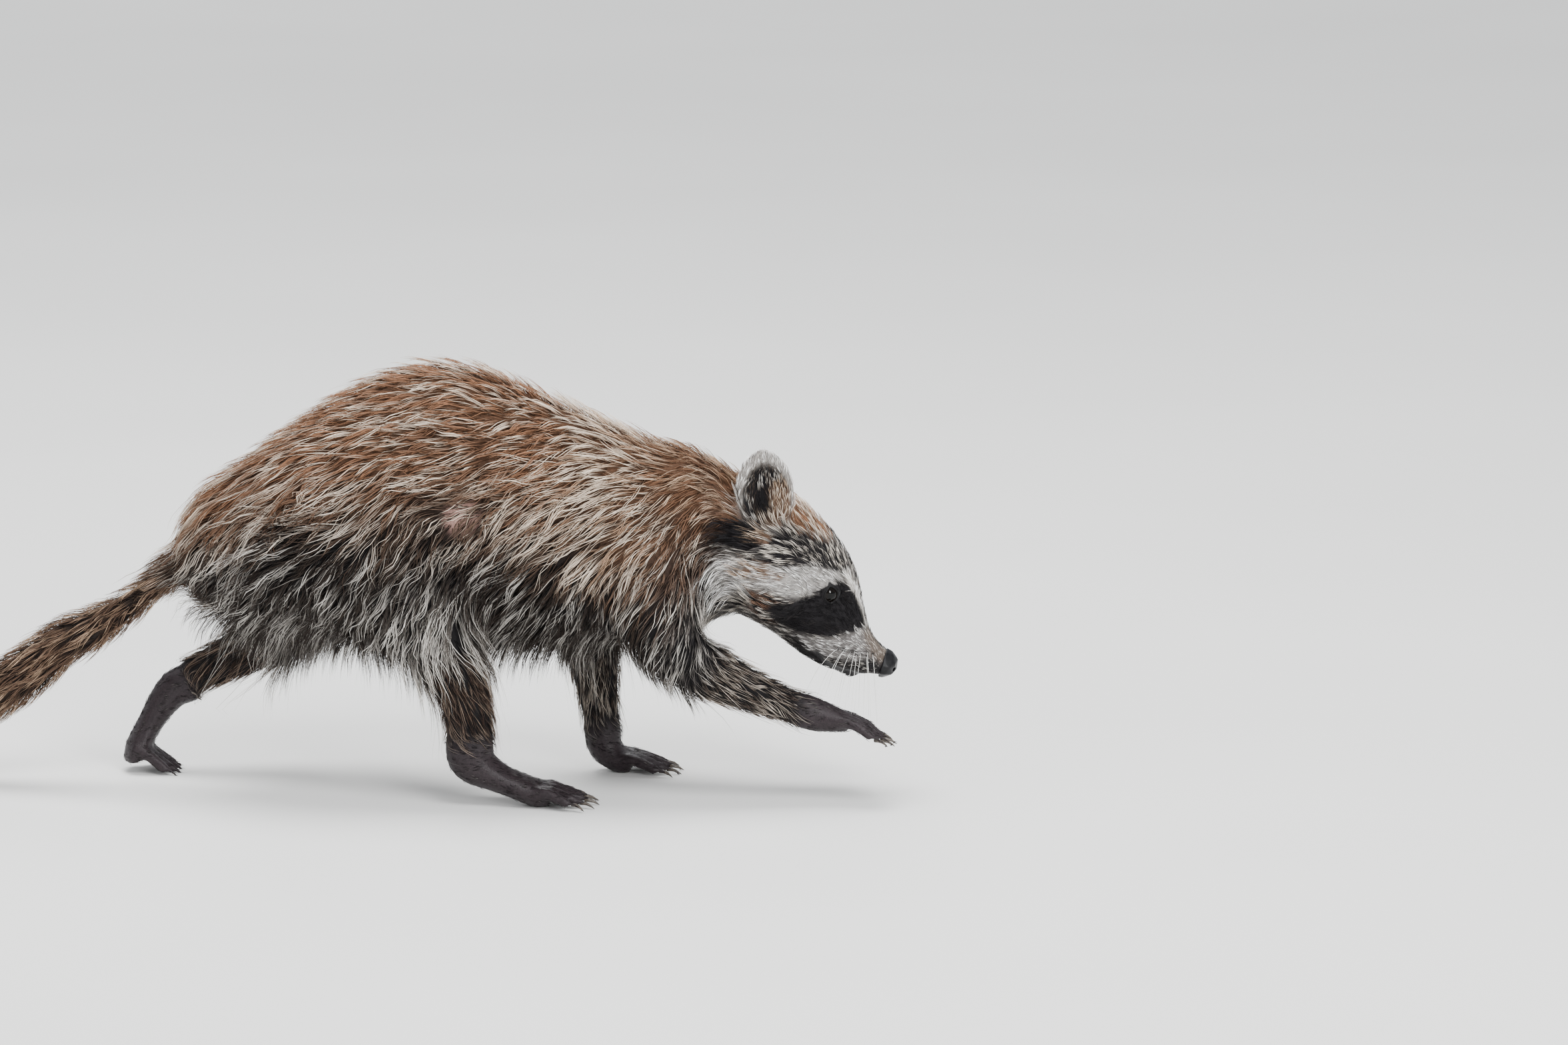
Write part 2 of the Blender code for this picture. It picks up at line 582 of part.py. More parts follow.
def paw(name, plan):
    """A paw on the sections that lead to its ball, with its digits fanned about its heading."""
    sections = list(plan["sections"].values())
    forward = Vector(plan["heading"]).normalized()
    side = (LEFT - forward * LEFT.dot(forward)).normalized()
    up = forward.cross(side)
    ball = Vector(sections[-2][:3])
    half_width = sections[-2][4]
    shells = [tube("palm", sections, side)]
    tips = []
    for i, length in enumerate(plan["lengths"]):
        place = i / (len(plan["lengths"]) - 1) * 2 - 1
        angle = place * plan["spread"]
        heading = forward * math.cos(angle) + side * math.sin(angle)
        root = ball + side * (place * half_width * ROOT_FAN)
        rows = []
        for share, lift, thick in plan["knuckles"]:
            centre = root + heading * (share * length) + up * (lift * length)
            rows.append((*centre, DIGIT_RADIUS * thick, DIGIT_RADIUS * thick))
        shells.append(tube("digit", rows, up.cross(heading).normalized(), DIGIT_STEPS, DIGIT_SIDES))
        tips.append((Vector(rows[-1][:3]), heading))
    made = melted(joined(name, shells), PAW_VOXEL, PAW_SMOOTHING, PAW_TRIANGLES)
    shift = UP * 0.0
    if plan["grounded"]:
        lowest = min(vert.co.z for vert in made.data.vertices)
        shift = UP * (-SOLE_SINK - lowest)
        made.data.transform(Matrix.Translation(shift))
    for tip, heading in tips:
        cut_away(made, claw(tip + shift, heading, up), "UNION")
    floor = block("floor", -UP * REACH / 2, WORLD_AXES, (FLOOR_BREADTH, FLOOR_BREADTH, REACH))
    return cut_away(made, floor)


def limb(body, plan):
    """One leg's upper part, lower part and paw, parted off the body from the paw inwards."""
    upper_name, lower_name, paw_name = plan["names"]
    point, direction = plan["paw_cut"]
    paw_end = beyond(point, direction, LOWER_BREADTH, LOWER_BREADTH, LOWER_BREADTH)
    spare = part_off(body, "coarse_paw", *paw_end)
    bpy.data.objects.remove(spare)
    whole_paw = paw("whole_paw", PAWS[paw_name])
    foot = part_off(whole_paw, paw_name, *beyond(point, direction, REACH, REACH, REACH))
    bpy.data.objects.remove(whole_paw)
    point, direction = plan["lower_cut"]
    lower_end = beyond(point, direction, LOWER_REACH, LOWER_BREADTH, LOWER_BREADTH)
    lower = part_off(body, lower_name, *lower_end)
    centre, direction, size = plan["upper_block"]
    upper = part_off(body, upper_name, Vector(centre), axes_along(direction), size)
    return upper, lower, foot


def finish(obj, slot):
    obj.data.materials.clear()
    obj.data.materials.append(material(slot))


def main():
    clear_scene()
    body = whole_body()
    for plan in LIMBS.values():
        upper, lower, foot = limb(body, plan)
        finish(upper, "coat_grizzled")
        finish(lower, "coat_legs")
        finish(foot, "bare_paws")
    for name, point, direction in reversed(TAIL_CUTS):
        tail_end = beyond(point, direction, REACH, TAIL_BREADTH, TAIL_BREADTH)
        finish(part_off(body, name, *tail_end), "coat_tail")
    head = head_from_neck(body)
    neck_end = beyond(NECK_CUT_AT, NECK_CUT_AXIS, REACH, REACH, REACH)
    finish(part_off(body, "neck", *neck_end), "coat_grizzled")
    finish(body, "coat_grizzled")
    finish(nose_from(head), "nose_pad")
    for side, word in ((1, "left"), (-1, "right")):
        finish(eye(head, f"eye_{word}", side), "eyes")
        finish(ear(head, f"ear_{word}", side), "coat_ears")
    finish(head, "coat_face")


main()
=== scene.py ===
"""The looks of a life-size walking raccoon: one skin, a coat of solid tufts, its face, and a plain studio.

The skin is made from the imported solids, which reach to the coat's tips, and lies inside them by the coat's
depth. Fields over the skin, such as the lie, length and colours of the coat, are set by region and blended
over its own surface; every tuft then reads them at its root. Metres, +X to the nose, +Y left, +Z up.
"""

import math

import bmesh
import bpy
import numpy as np
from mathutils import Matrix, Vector
from mathutils.bvhtree import BVHTree
from mathutils.kdtree import KDTree


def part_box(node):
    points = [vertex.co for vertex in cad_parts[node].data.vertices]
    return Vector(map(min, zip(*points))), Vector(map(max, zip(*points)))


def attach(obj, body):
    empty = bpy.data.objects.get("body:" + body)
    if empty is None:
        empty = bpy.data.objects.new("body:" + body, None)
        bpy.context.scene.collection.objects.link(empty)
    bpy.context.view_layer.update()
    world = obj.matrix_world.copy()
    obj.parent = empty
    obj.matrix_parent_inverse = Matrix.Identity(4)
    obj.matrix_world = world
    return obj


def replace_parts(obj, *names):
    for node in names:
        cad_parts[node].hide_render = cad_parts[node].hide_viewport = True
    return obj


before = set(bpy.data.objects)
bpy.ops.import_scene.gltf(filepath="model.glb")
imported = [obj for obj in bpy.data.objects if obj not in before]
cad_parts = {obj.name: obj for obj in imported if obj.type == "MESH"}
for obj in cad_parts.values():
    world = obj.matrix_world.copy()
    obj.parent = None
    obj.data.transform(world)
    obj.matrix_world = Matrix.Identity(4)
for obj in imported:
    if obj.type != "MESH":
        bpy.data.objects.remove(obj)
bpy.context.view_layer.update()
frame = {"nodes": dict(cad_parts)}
MM = 0.001
TAU = 2 * math.pi
DOWN = np.array((0.0, 0.0, -1.0))
SIDES = {1: "left", -1: "right"}  # by the sign of y

# ---- places, from the solids


def centre_of(node):
    low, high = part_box(node)
    return (np.array(low) + np.array(high)) / 2


def unit(vectors):
    return vectors / np.maximum(np.linalg.norm(vectors, axis=-1, keepdims=True), 1e-12)


# The head's own frame: s back from the nose tip, y to the animal's left, h up.
EYE_BACK, EYE_UP = 0.0630, 0.0045  # the eyes' middle, from the nose tip
EYE_LINE_RISE = math.radians(6.98)  # of the line from the nose pad's middle to the eyes' middle
HEAD_LEFT = unit(centre_of("eye_left") - centre_of("eye_right"))
EYES_MIDDLE = (centre_of("eye_left") + centre_of("eye_right")) / 2


def head_axes():
    line = EYES_MIDDLE - centre_of("nose")
    line = unit(line - HEAD_LEFT * (line @ HEAD_LEFT))
    square = np.cross(HEAD_LEFT, line)
    back = line * math.cos(EYE_LINE_RISE) - square * math.sin(EYE_LINE_RISE)
    return back, np.cross(HEAD_LEFT, back)


HEAD_BACK, HEAD_UP = head_axes()
NOSE_TIP = EYES_MIDDLE - HEAD_BACK * EYE_BACK - HEAD_UP * EYE_UP
HEAD_AXES = np.array((HEAD_BACK, HEAD_LEFT, HEAD_UP))


def in_head(points):
    """Points in the head's own frame, as rows of s, y, h."""
    return (points - NOSE_TIP) @ HEAD_AXES.T


def from_head(rows):
    return NOSE_TIP + np.asarray(rows, float) @ HEAD_AXES


# ---- regions of the coat, millimetres unless said otherwise

# Depth of the coat, length and width of its tufts, how far a tuft's tip is drawn to its lock's, height of its
# waves, pull of gravity on it, and tufts per square centimetre.
REGION_COLUMNS = ("depth", "length", "width", "clump", "wave", "hang", "density")
REGIONS = {
    "trunk": (9.0, 29.0, 0.74, 0.66, 0.8, 0.10, 20),
    "neck": (7.0, 22.0, 0.62, 0.55, 0.5, 0.12, 27),
    "thigh": (7.0, 29.0, 0.70, 0.76, 1.0, 0.25, 20),
    "upper_arm": (5.5, 23.0, 0.62, 0.66, 0.7, 0.22, 23),
    "tail": (6.5, 25.0, 0.50, 0.50, 1.0, 0.18, 33),
    "shank": (2.6, 13.0, 0.48, 0.55, 0.4, 0.05, 27),
    "forearm": (2.4, 11.0, 0.46, 0.50, 0.3, 0.05, 28),
    "paw": (0.6, 5.0, 0.34, 0.25, 0.1, 0.0, 19),
    "head": (2.6, 9.0, 0.38, 0.35, 0.1, 0.0, 66),
    "ear": (1.2, 6.5, 0.30, 0.25, 0.1, 0.0, 74),
}
REGION_OF_WORD = {"upper": "upper_arm", "hand": "paw", "hind": "paw", "nose": "head", "eye": "head"}
APART = ("eye_left", "eye_right", "nose")  # nodes that keep pieces of their own

# The coat over the head, by s: muzzle, bridge, eyes, cheeks, nape.
HEAD_STATIONS = (8.0, 30.0, 55.0, 80.0, 105.0, 135.0)
HEAD_COAT = {
    "depth": (0.5, 0.9, 1.3, 2.2, 4.6, 6.5),
    "length": (3.0, 5.0, 6.5, 9.0, 14.0, 20.0),
    "width": (0.26, 0.29, 0.31, 0.34, 0.42, 0.52),
    "density": (115.0, 110.0, 82.0, 58.0, 39.0, 32.0),
}
NAPE_FROM, NAPE_CLUMP, NAPE_WAVE = (95, 140), 0.25, 0.4  # longer hair behind the cheeks is drawn together more

# Long wavy locks on the lower flanks and thighs, and the fringe that hangs from belly and knees; heights and
# places along the body in metres.
SHAGGY = {"trunk": 1, "thigh": 1, "upper_arm": 0.6, "neck": 0.5}
CURLY_FADES_UP, CURLY_FADES_AHEAD, CURLY_LOST_AHEAD = (0.185, 0.222), (0.09, 0.15), 0.6
CURLY_GAIN, CURLY_WAVE = 8.0, 0.9
FRINGE_FADES_UP, FRINGE_GAIN, FRINGE_HANG = (0.098, 0.122), 9.0, 0.45
BELLY_HANG = 0.35
KNEE_REACH = 0.022
KNEE_RISE = 0.022  # of a knee's fringe above the middle between thigh and shank
ANKLE_GAIN, ANKLE_SHORTER, ANKLE_THINNER = 1.9, 0.60, 0.20
FLOOR_CLEAR = (1 * MM, 6 * MM)  # no depth of coat below the first height, the full one above the second

SKIN_VOXEL = 1.65 * MM
SHELL_GROWTH = 0.35 * MM  # closes the gaps between solids before they are melted into one
NOSE_SHRINK = 0.8 * MM  # the skin's nose lies inside the pad
SKIN_SOFTENING = 4
BODY_SOFTENING = 18  # further rounds for the body, to ease the creases between its solids
REGION_BLEND, LIE_BLEND = 14, 18  # rounds of averaging over neighbours
ANKLE_BLEND = 90  # for the dark of the paws, which runs on up the legs

# Face: eyes, lids and mouth, in the head's frame, millimetres.
FACE_END, FACE_FLOOR = 74, -45  # finer skin before this s and above this h
EYE_DETAIL, LID_DETAIL, MOUTH_DETAIL = 14, 11, 4.5  # finer still this near to them
EYE_RADIUS = 7.8
GAZE = (-0.55, 0.83, -0.02)  # of the left eye: s, y, h
SLIT = (0.80, 0.0, 0.60)  # from the inner to the outer corner of an eye
SLIT_HALF_LENGTH, SLIT_HALF_HEIGHT = 4.2, 3.2
SLIT_TAPER, SLIT_TAPER_END, SLIT_LEAST = 0.45, 1.3, 0.35  # of the opening towards its corners
LID_OVER_BALL, LID_ROLL = 0.75, 0.30
LID_RIM, LID_RIM_BREADTH = 1.12, 0.16  # the rolled rim, in opening sizes from the middle
LID_EDGE, LID_REACH = 1.15, 1.9  # lids lie on the ball out to the first and fade by the second
OPENING_EDGE, SOCKET = (0.90, 1.04), 0.86  # skin inside the opening sinks to this share of the ball
LID_AHEAD, LID_FAR, BALL_NEAR = 0.2, 2.2, 1.6
LID_DARK = (1.2, 1.7)
MOUTH = ((6.0, -12.0), (10.0, -15.5), (16.0, -20.0), (24.0, -24.4), (33.0, -27.2), (42.0, -27.0))  # s, h
MOUTH_DEPTH, MOUTH_BREADTH = 0.8, 1.3
TUCK, TUCK_BREADTH, TUCK_BELOW = 0.9, 5.0, (0.0, 2.5)  # the lower lip, tucked under the upper
LIPS_BREADTH, JAW_BELOW, JAW_FADE = 1.9, (0.0, 1.5), (9, 16)
EAR_SINK, SLIT_SINK = 1.2, 2.2

# ---- colours, linear

CREAM = (0.74, 0.62, 0.50)
IVORY = (0.70, 0.64, 0.56)
BUFF = (0.46, 0.32, 0.215)
RUST = (0.255, 0.125, 0.068)
CHESTNUT = (0.145, 0.072, 0.040)
BROWN = (0.140, 0.084, 0.056)
UMBER = (0.042, 0.026, 0.019)
GREY = (0.26, 0.235, 0.21)
PALE_GREY = (0.50, 0.47, 0.43)
WHITE = (0.95, 0.93, 0.90)
BLACK = (0.008, 0.007, 0.008)
CHARCOAL = (0.026, 0.023, 0.023)
SLATE = (0.085, 0.078, 0.074)
PINK = (0.42, 0.25, 0.21)
PAW_HIDE = (0.020, 0.0145, 0.0165)
LID_HIDE = 0.4  # the lids' hide, as a share of black


def look(near_skin, dull, pale, share):
    """A marking: the colour near the skin, of its dull locks, of its pale ones, and the share of pale ones."""
    return np.array((*near_skin, *dull, *pale, share))


BACK = look(CHESTNUT, RUST, CREAM, 0.34)
FLANK = look(UMBER, (0.105, 0.068, 0.048), CREAM, 0.26)
# painted shade: the lower body and the underside are darkened, as where less light falls
LOW_SHADE = look(BLACK, (0.026, 0.019, 0.015), PALE_GREY, 0.13)
SHOULDER = look(UMBER, BROWN, IVORY, 0.28)
KNEE_FRINGE = look(BLACK, (0.20, 0.18, 0.16), (0.82, 0.78, 0.72), 0.68)
NAPE = look(CHESTNUT, CHESTNUT, BUFF, 0.42)
WITHERS = look(CHESTNUT, BUFF, CREAM, 0.85)
THROAT = look(BLACK, SLATE, PALE_GREY, 0.36)
SHANK = look(BLACK, (0.036, 0.021, 0.015), (0.24, 0.175, 0.13), 0.12)
FOREARM = look(BLACK, (0.060, 0.044, 0.035), (0.44, 0.38, 0.32), 0.24)
PAW = look(BLACK, (0.018, 0.014, 0.015), SLATE, 0.26)
TAIL_DARK = look(BLACK, (0.075, 0.042, 0.027), BROWN, 0.40)
TAIL_PALE = look(UMBER, BROWN, BUFF, 0.38)
FACE = look(SLATE, SLATE, PALE_GREY, 0.55)
STRIPE = look(BLACK, BLACK, GREY, 0.22)
BARE_BLACK = look(BLACK, BLACK, BLACK, 0.0)
EAR_RIM = look((0.36, 0.335, 0.31), (0.40, 0.37, 0.34), WHITE, 0.64)
EAR_INSIDE = look(BLACK, (0.060, 0.045, 0.037), PALE_GREY, 0.28)
EAR_FRONT = look(BROWN, BUFF, CREAM, 0.60)
EAR_BACK = look(UMBER, SLATE, PALE_GREY, 0.45)

# Markings of the face: the softness of their edges, their looks and their outlines in (s, h), millimetres. Later
# ones lie over earlier ones.
FACE_MARKS = {
    "throat": (4.0, THROAT, ((45, -26), (60, -26), (85, -29), (110, -40), (130, -60), (60, -60), (30, -45))),
    "cheek": (5.0, look(BLACK, SLATE, IVORY, 0.46), (
        (84, -31), (92, -22), (108, -36), (125, -38), (150, -50), (150, -66), (96, -54),
    )),
    "nape_rust": (5.0, NAPE, ((100, 45), (104, 22), (118, 10), (124, -6), (140, -16), (170, -20), (175, 45))),
    "forehead": (3.0, look(BLACK, SLATE, IVORY, 0.40), (
        (60, 24), (65, 17), (80, 9.5), (90, -3), (101, -11.5), (114, -16), (116, 2), (110, 18), (96, 25),
        (84, 27), (74, 30),
    )),
    "crown": (3.0, look(CHESTNUT, RUST, CREAM, 0.50), (
        (84, 45), (80, 29), (92, 23), (106, 19), (113, 24), (118, 45),
    )),
    "band": (1.6, look((0.29, 0.275, 0.26), (0.22, 0.205, 0.19), WHITE, 0.72), (
        (58.5, 14), (61.5, 8.5), (67, -0.5), (74, -10.5), (84, -18), (91, -24), (99, -33), (108, -42),
        (125, -38), (124, -27), (116, -17), (101, -9.5), (90, -2), (80.5, 9), (66, 17), (60, 18),
    )),
    "band_stain": (4.0, look(BROWN, BUFF, WHITE, 0.45), (
        (88, -6), (96, -17), (110, -26), (112, -18), (101, -10),
    )),
    "behind_ear": (2.4, BARE_BLACK, (
        (108, -4), (112, 5), (121, 8), (133, -3), (140, -14), (130, -19), (115, -12),
    )),
    "ear_tuft": (1.5, EAR_FRONT, ((108, 6), (113, 9), (118, 2), (114, -1), (108, 0))),
    "mask_fade": (4.5, look(BLACK, CHESTNUT, IVORY, 0.25), (
        (70, -10), (78, -14), (94, -24), (92, -31), (70, -30),
    )),
    "mask": (1.2, look(BLACK, BLACK, CHARCOAL, 0.2), (
        (60.5, 14), (53.5, 16), (45, 13), (38, 9.5), (31.5, 5.5), (33.5, -1.5), (38, -8.5), (42, -14),
        (48, -19.5), (60, -25.5), (72, -28), (80, -25.5), (78, -18), (71.5, -10.5), (65, -0.5), (61, 8),
    )),
    "muzzle": (1.2, look((0.14, 0.13, 0.125), (0.15, 0.14, 0.132), WHITE, 0.62), (
        (7, -2), (12, 2.5), (20, 4), (27.5, 6.5), (30.5, 6), (32.5, -1), (37, -8.5), (41, -14.5), (47, -20),
        (57, -27), (46, -28.5), (33, -26.5), (24, -23.5), (16, -19), (10, -14),
    )),
    "muzzle_bridge": (2.2, look((0.10, 0.08, 0.066), (0.16, 0.13, 0.11), (0.56, 0.50, 0.44), 0.55), (
        (5, 0), (5, 8), (20, 12), (31, 14), (31, 6), (27, -1), (18, -6), (10, -6),
    )),
    "muzzle_grey": (2.0, look(BLACK, SLATE, PALE_GREY, 0.42), (
        (5, -8), (14, -6), (20, -12), (27, -18), (36, -24), (44, -30), (20, -27), (5, -16),
    )),
    "streak": (0.9, look(PALE_GREY, IVORY, WHITE, 0.84), (
        (63, 22.5), (54, 19), (46, 16.5), (38, 12.5), (30, 7), (31, 5), (40, 10.5), (48, 14), (60, 17.5),
    )),
}
MARK_WANDER, STRIPE_WANDER = 1.6, 1.5  # how far edges wander: as a share of their softness, and in millimetres
WANDER_SIZES, WANDER_FINE = (3.2 * MM, 1.2 * MM), 0.6
MARKS_END = (120, 150)  # on the neck
# The dark stripe over the bridge and forehead: s, and half width there; and where it ends behind.
STRIPE_STATIONS = (6.0, 20.0, 40.0, 55.0, 75.0, 100.0)
STRIPE_HALF_WIDTHS = (3.0, 3.4, 4.0, 6.0, 9.5, 7.0)
STRIPE_ENDS, STRIPE_SOFTNESS, CREST = (82, 98), 0.8, (0.1, 0.6)
EYE_PATCH = (6.6, 8.6)  # black to this far round an eye
NOSE_DARK, JAW_DARK = (6, 12), 0.8  # dark hair behind the pad fades over this s


# ---- small tools


def ramp(values, start, end):
    """0 before start, 1 after end, smooth between."""
    share = np.clip((values - start) / (end - start), 0, 1)
    return share * share * (3 - 2 * share)


def fade(values, start, end):
    """1 before start, 0 after end, smooth between."""
    return 1 - ramp(values, start, end)


def bell(distances, width):
    """1 at distance 0, falling off smoothly over the width."""
    return np.exp(-((distances / width) ** 2))


def mixed(old, new, weight):
    return old + (np.asarray(new) - old) * weight[:, None]


def speckle(points, size, seed):
    """Smooth noise from 0 to 1 with features of that size."""
    cells = np.asarray(points) / size + seed * 17.31
    base = np.floor(cells).astype(np.int64)
    share = cells - base
    share = share * share * (3 - 2 * share)
    total = np.zeros(len(cells))
    for corner in np.ndindex(2, 2, 2):
        at = base + corner
        code = (at[:, 0] * 73856093) ^ (at[:, 1] * 19349663) ^ (at[:, 2] * 83492791) ^ (seed * 2654435)
        code = (code ^ (code >> 13)) * 1274126177
        value = ((code ^ (code >> 16)) & 0xFFFF) / 0xFFFF
        total += value * np.prod(np.where(corner, share, 1 - share), axis=1)
    return total


def along_line(x, y, start, end):
    """The offsets from points to the nearest place of a straight line."""
    (ax, ay), (dx, dy) = start, np.subtract(end, start)
    share = np.clip(((x - ax) * dx + (y - ay) * dy) / (dx * dx + dy * dy), 0, 1)
    return x - ax - share * dx, y - ay - share * dy


def inside(x, y, outline):
    """How far points lie inside a closed outline; outside it, minus the distance to it."""
    nearest = np.full(len(x), np.inf)
    crossings = np.zeros(len(x), bool)
    corners = np.array(outline, float)
    for start, end in zip(corners, np.roll(corners, -1, axis=0)):
        nearest = np.minimum(nearest, np.hypot(*along_line(x, y, start, end)))
        (ax, ay), (dx, dy) = start, end - start
        crosses = (ay > y) != (end[1] > y)
        crossings ^= crosses & (x < ax + (y - ay) * dx / (dy if dy else 1e-12))
    return np.where(crossings, nearest, -nearest)


def placed(name, data):
    obj = bpy.data.objects.new(name, data)
    bpy.context.scene.collection.objects.link(obj)
    return obj


def object_of(name, mesh, material):
    """A finished piece of the raccoon."""
    obj = placed(name, mesh)
    mesh.materials.clear()
    mesh.materials.append(material)
    mesh.shade_smooth()
    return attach(obj, "root")


def set_places(mesh, places):
    mesh.vertices.foreach_set("co", np.asarray(places, np.float32).ravel())


def mesh_of(name, vertices, triangles):
    vertices, triangles = np.reshape(vertices, (-1, 3)), np.reshape(triangles, (-1, 3))
    mesh = bpy.data.meshes.new(name)
    mesh.vertices.add(len(vertices))
    set_places(mesh, vertices)
    mesh.loops.add(3 * len(triangles))
    mesh.loops.foreach_set("vertex_index", triangles.astype(np.int32).ravel())
    mesh.polygons.add(len(triangles))
    mesh.polygons.foreach_set("loop_start", np.arange(len(triangles), dtype=np.int32) * 3)
    mesh.update(calc_edges=True)
    return mesh


def mesh_from(bm, name):
    mesh = bpy.data.meshes.new(name)
    bm.to_mesh(mesh)
    bm.free()
    return mesh


def add_colours(mesh, colours):
    colours = np.reshape(colours, (-1, 3))
    rows = np.ones((len(colours), 4), np.float32)
    rows[:, :3] = colours
    mesh.color_attributes.new("coat_colour", "FLOAT_COLOR", "POINT").data.foreach_set("color", rows.ravel())


def add_values(mesh, name, values):
    mesh.attributes.new(name, "FLOAT", "POINT").data.foreach_set("value", np.asarray(values, np.float32))


def remeshed(bm, name, voxel, softening):
    """The mesh melted into one closed surface of small even faces, and softened."""
    obj = placed(name, mesh_from(bm, name))
    remesh = obj.modifiers.new("Remesh", "REMESH")
    remesh.mode, remesh.voxel_size = "VOXEL", voxel
    soften = obj.modifiers.new("Soften", "SMOOTH")
    soften.factor, soften.iterations = 0.5, softening
    graph = bpy.context.evaluated_depsgraph_get()
    mesh = bpy.data.meshes.new_from_object(obj.evaluated_get(graph))
    bpy.data.objects.remove(obj)
    return mesh


# ---- the skin


def rows_of(items, key, width, kind):
    """One property of all items of a mesh."""
    flat = np.zeros(width * len(items), kind)
    items.foreach_get(key, flat)
    return flat.reshape(-1, width)


class Skin(dict):
    """The skin's places, triangles and edges as arrays; its items are named fields over its vertices."""

    def __init__(self, mesh):
        mesh.calc_loop_triangles()
        self.places = rows_of(mesh.vertices, "co", 3, np.float32).astype(float)
        self.triangles = rows_of(mesh.loop_triangles, "vertices", 3, np.int32)
        self.edges = rows_of(mesh.edges, "vertices", 2, np.int32)
        self.neighbours = np.bincount(self.edges.ravel(), minlength=len(self.places))

    def normals(self):
        corners = self.triangles.T
        a, b, c = self.places[corners]
        square = np.cross(b - a, c - a)
        sums = [sum(np.bincount(corner, part, len(self.places)) for corner in corners) for part in square.T]
        return unit(np.stack(sums, axis=1))

    def blended(self, values, rounds):
        """values averaged over neighbouring vertices, round after round."""
        columns = np.array(values, float).reshape(len(values), -1)
        ends, starts = self.edges.T
        for _ in range(rounds):
            sums = [
                np.bincount(ends, column[starts], len(values)) + np.bincount(starts, column[ends], len(values))
                for column in columns.T
            ]
            columns = (columns + np.stack(sums, axis=1)) / (self.neighbours + 1)[:, None]
        return columns.reshape(np.shape(values))

    def along_surface(self, vectors):
        """The vectors laid flat on the skin, one unit long."""
        normals = self.normals()
        return unit(vectors - normals * np.sum(vectors * normals, axis=1, keepdims=True))


def region_name(node):
    word = node.split("_")[0]
    return REGION_OF_WORD.get(word, word)


def shell_of(node, growth):
    """A node's solid with its surface moved out by growth."""
    bm = bmesh.new()
    bm.from_mesh(frame["nodes"][node].data)
    bmesh.ops.remove_doubles(bm, verts=bm.verts, dist=1e-6)
    bmesh.ops.recalc_face_normals(bm, faces=bm.faces)
    bm.normal_update()
    normals = [vert.normal.copy() for vert in bm.verts]
    for vert, normal in zip(bm.verts, normals):
        vert.co += normal * growth
    return mesh_from(bm, node)


def melted_flesh():
    """All the solids as one closed surface."""
    bm = bmesh.new()
    for node in frame["nodes"]:
        bm.from_mesh(shell_of(node, -NOSE_SHRINK if node == "nose" else SHELL_GROWTH))
    return remeshed(bm, "skin", SKIN_VOXEL, SKIN_SOFTENING)


def finer_where(mesh, chosen):
    """The mesh with twice the detail on the edges whose middles the function picks."""
    bm = bmesh.new()
    bm.from_mesh(mesh)
    middles = np.array([(edge.verts[0].co + edge.verts[1].co) / 2 for edge in bm.edges])
    edges = [edge for edge, wanted in zip(bm.edges, chosen(middles)) if wanted]
    bmesh.ops.subdivide_edges(bm, edges=edges, cuts=1, use_grid_fill=True)
    bmesh.ops.triangulate(bm, faces=[face for face in bm.faces if len(face.verts) > 4])
    bm.to_mesh(mesh)
    bm.free()
    return mesh


def on_face(points):
    s, _, h = in_head(points).T / MM
    return (s < FACE_END) & (h > FACE_FLOOR)


def near_eyes(points, reach):
    far = [np.linalg.norm(points - centre_of(f"eye_{side}"), axis=1) for side in SIDES.values()]
    return np.minimum(*far) < reach * MM


def round_eyes(points):
    s, _, h = in_head(points).T / MM
    mouth = np.minimum.reduce([np.hypot(s - ms, h - mh) for ms, mh in MOUTH])
    return near_eyes(points, EYE_DETAIL) | (mouth < MOUTH_DETAIL)


def on_lids(points):
    return near_eyes(points, LID_DETAIL)


def set_regions(skin):
    """For each region, how far each vertex belongs to it, by the nearest solid."""
    places, faces, nodes = [], [], []
    for index, obj in enumerate(frame["nodes"].values()):
        start = len(places)
        places += [tuple(vert.co) for vert in obj.data.vertices]
        faces += [[start + corner for corner in polygon.vertices] for polygon in obj.data.polygons]
        nodes += [index] * len(obj.data.polygons)
    tree = BVHTree.FromPolygons(places, faces)
    nearest = [tree.find_nearest(Vector(place))[2] for place in skin.places]
    skin["node"] = np.array(nodes)[nearest]
    names = np.array([region_name(node) for node in frame["nodes"]])[skin["node"]]
    soft = skin.blended(np.stack([names == region for region in REGIONS], axis=1), REGION_BLEND)
    skin.update(zip(REGIONS, soft.T))


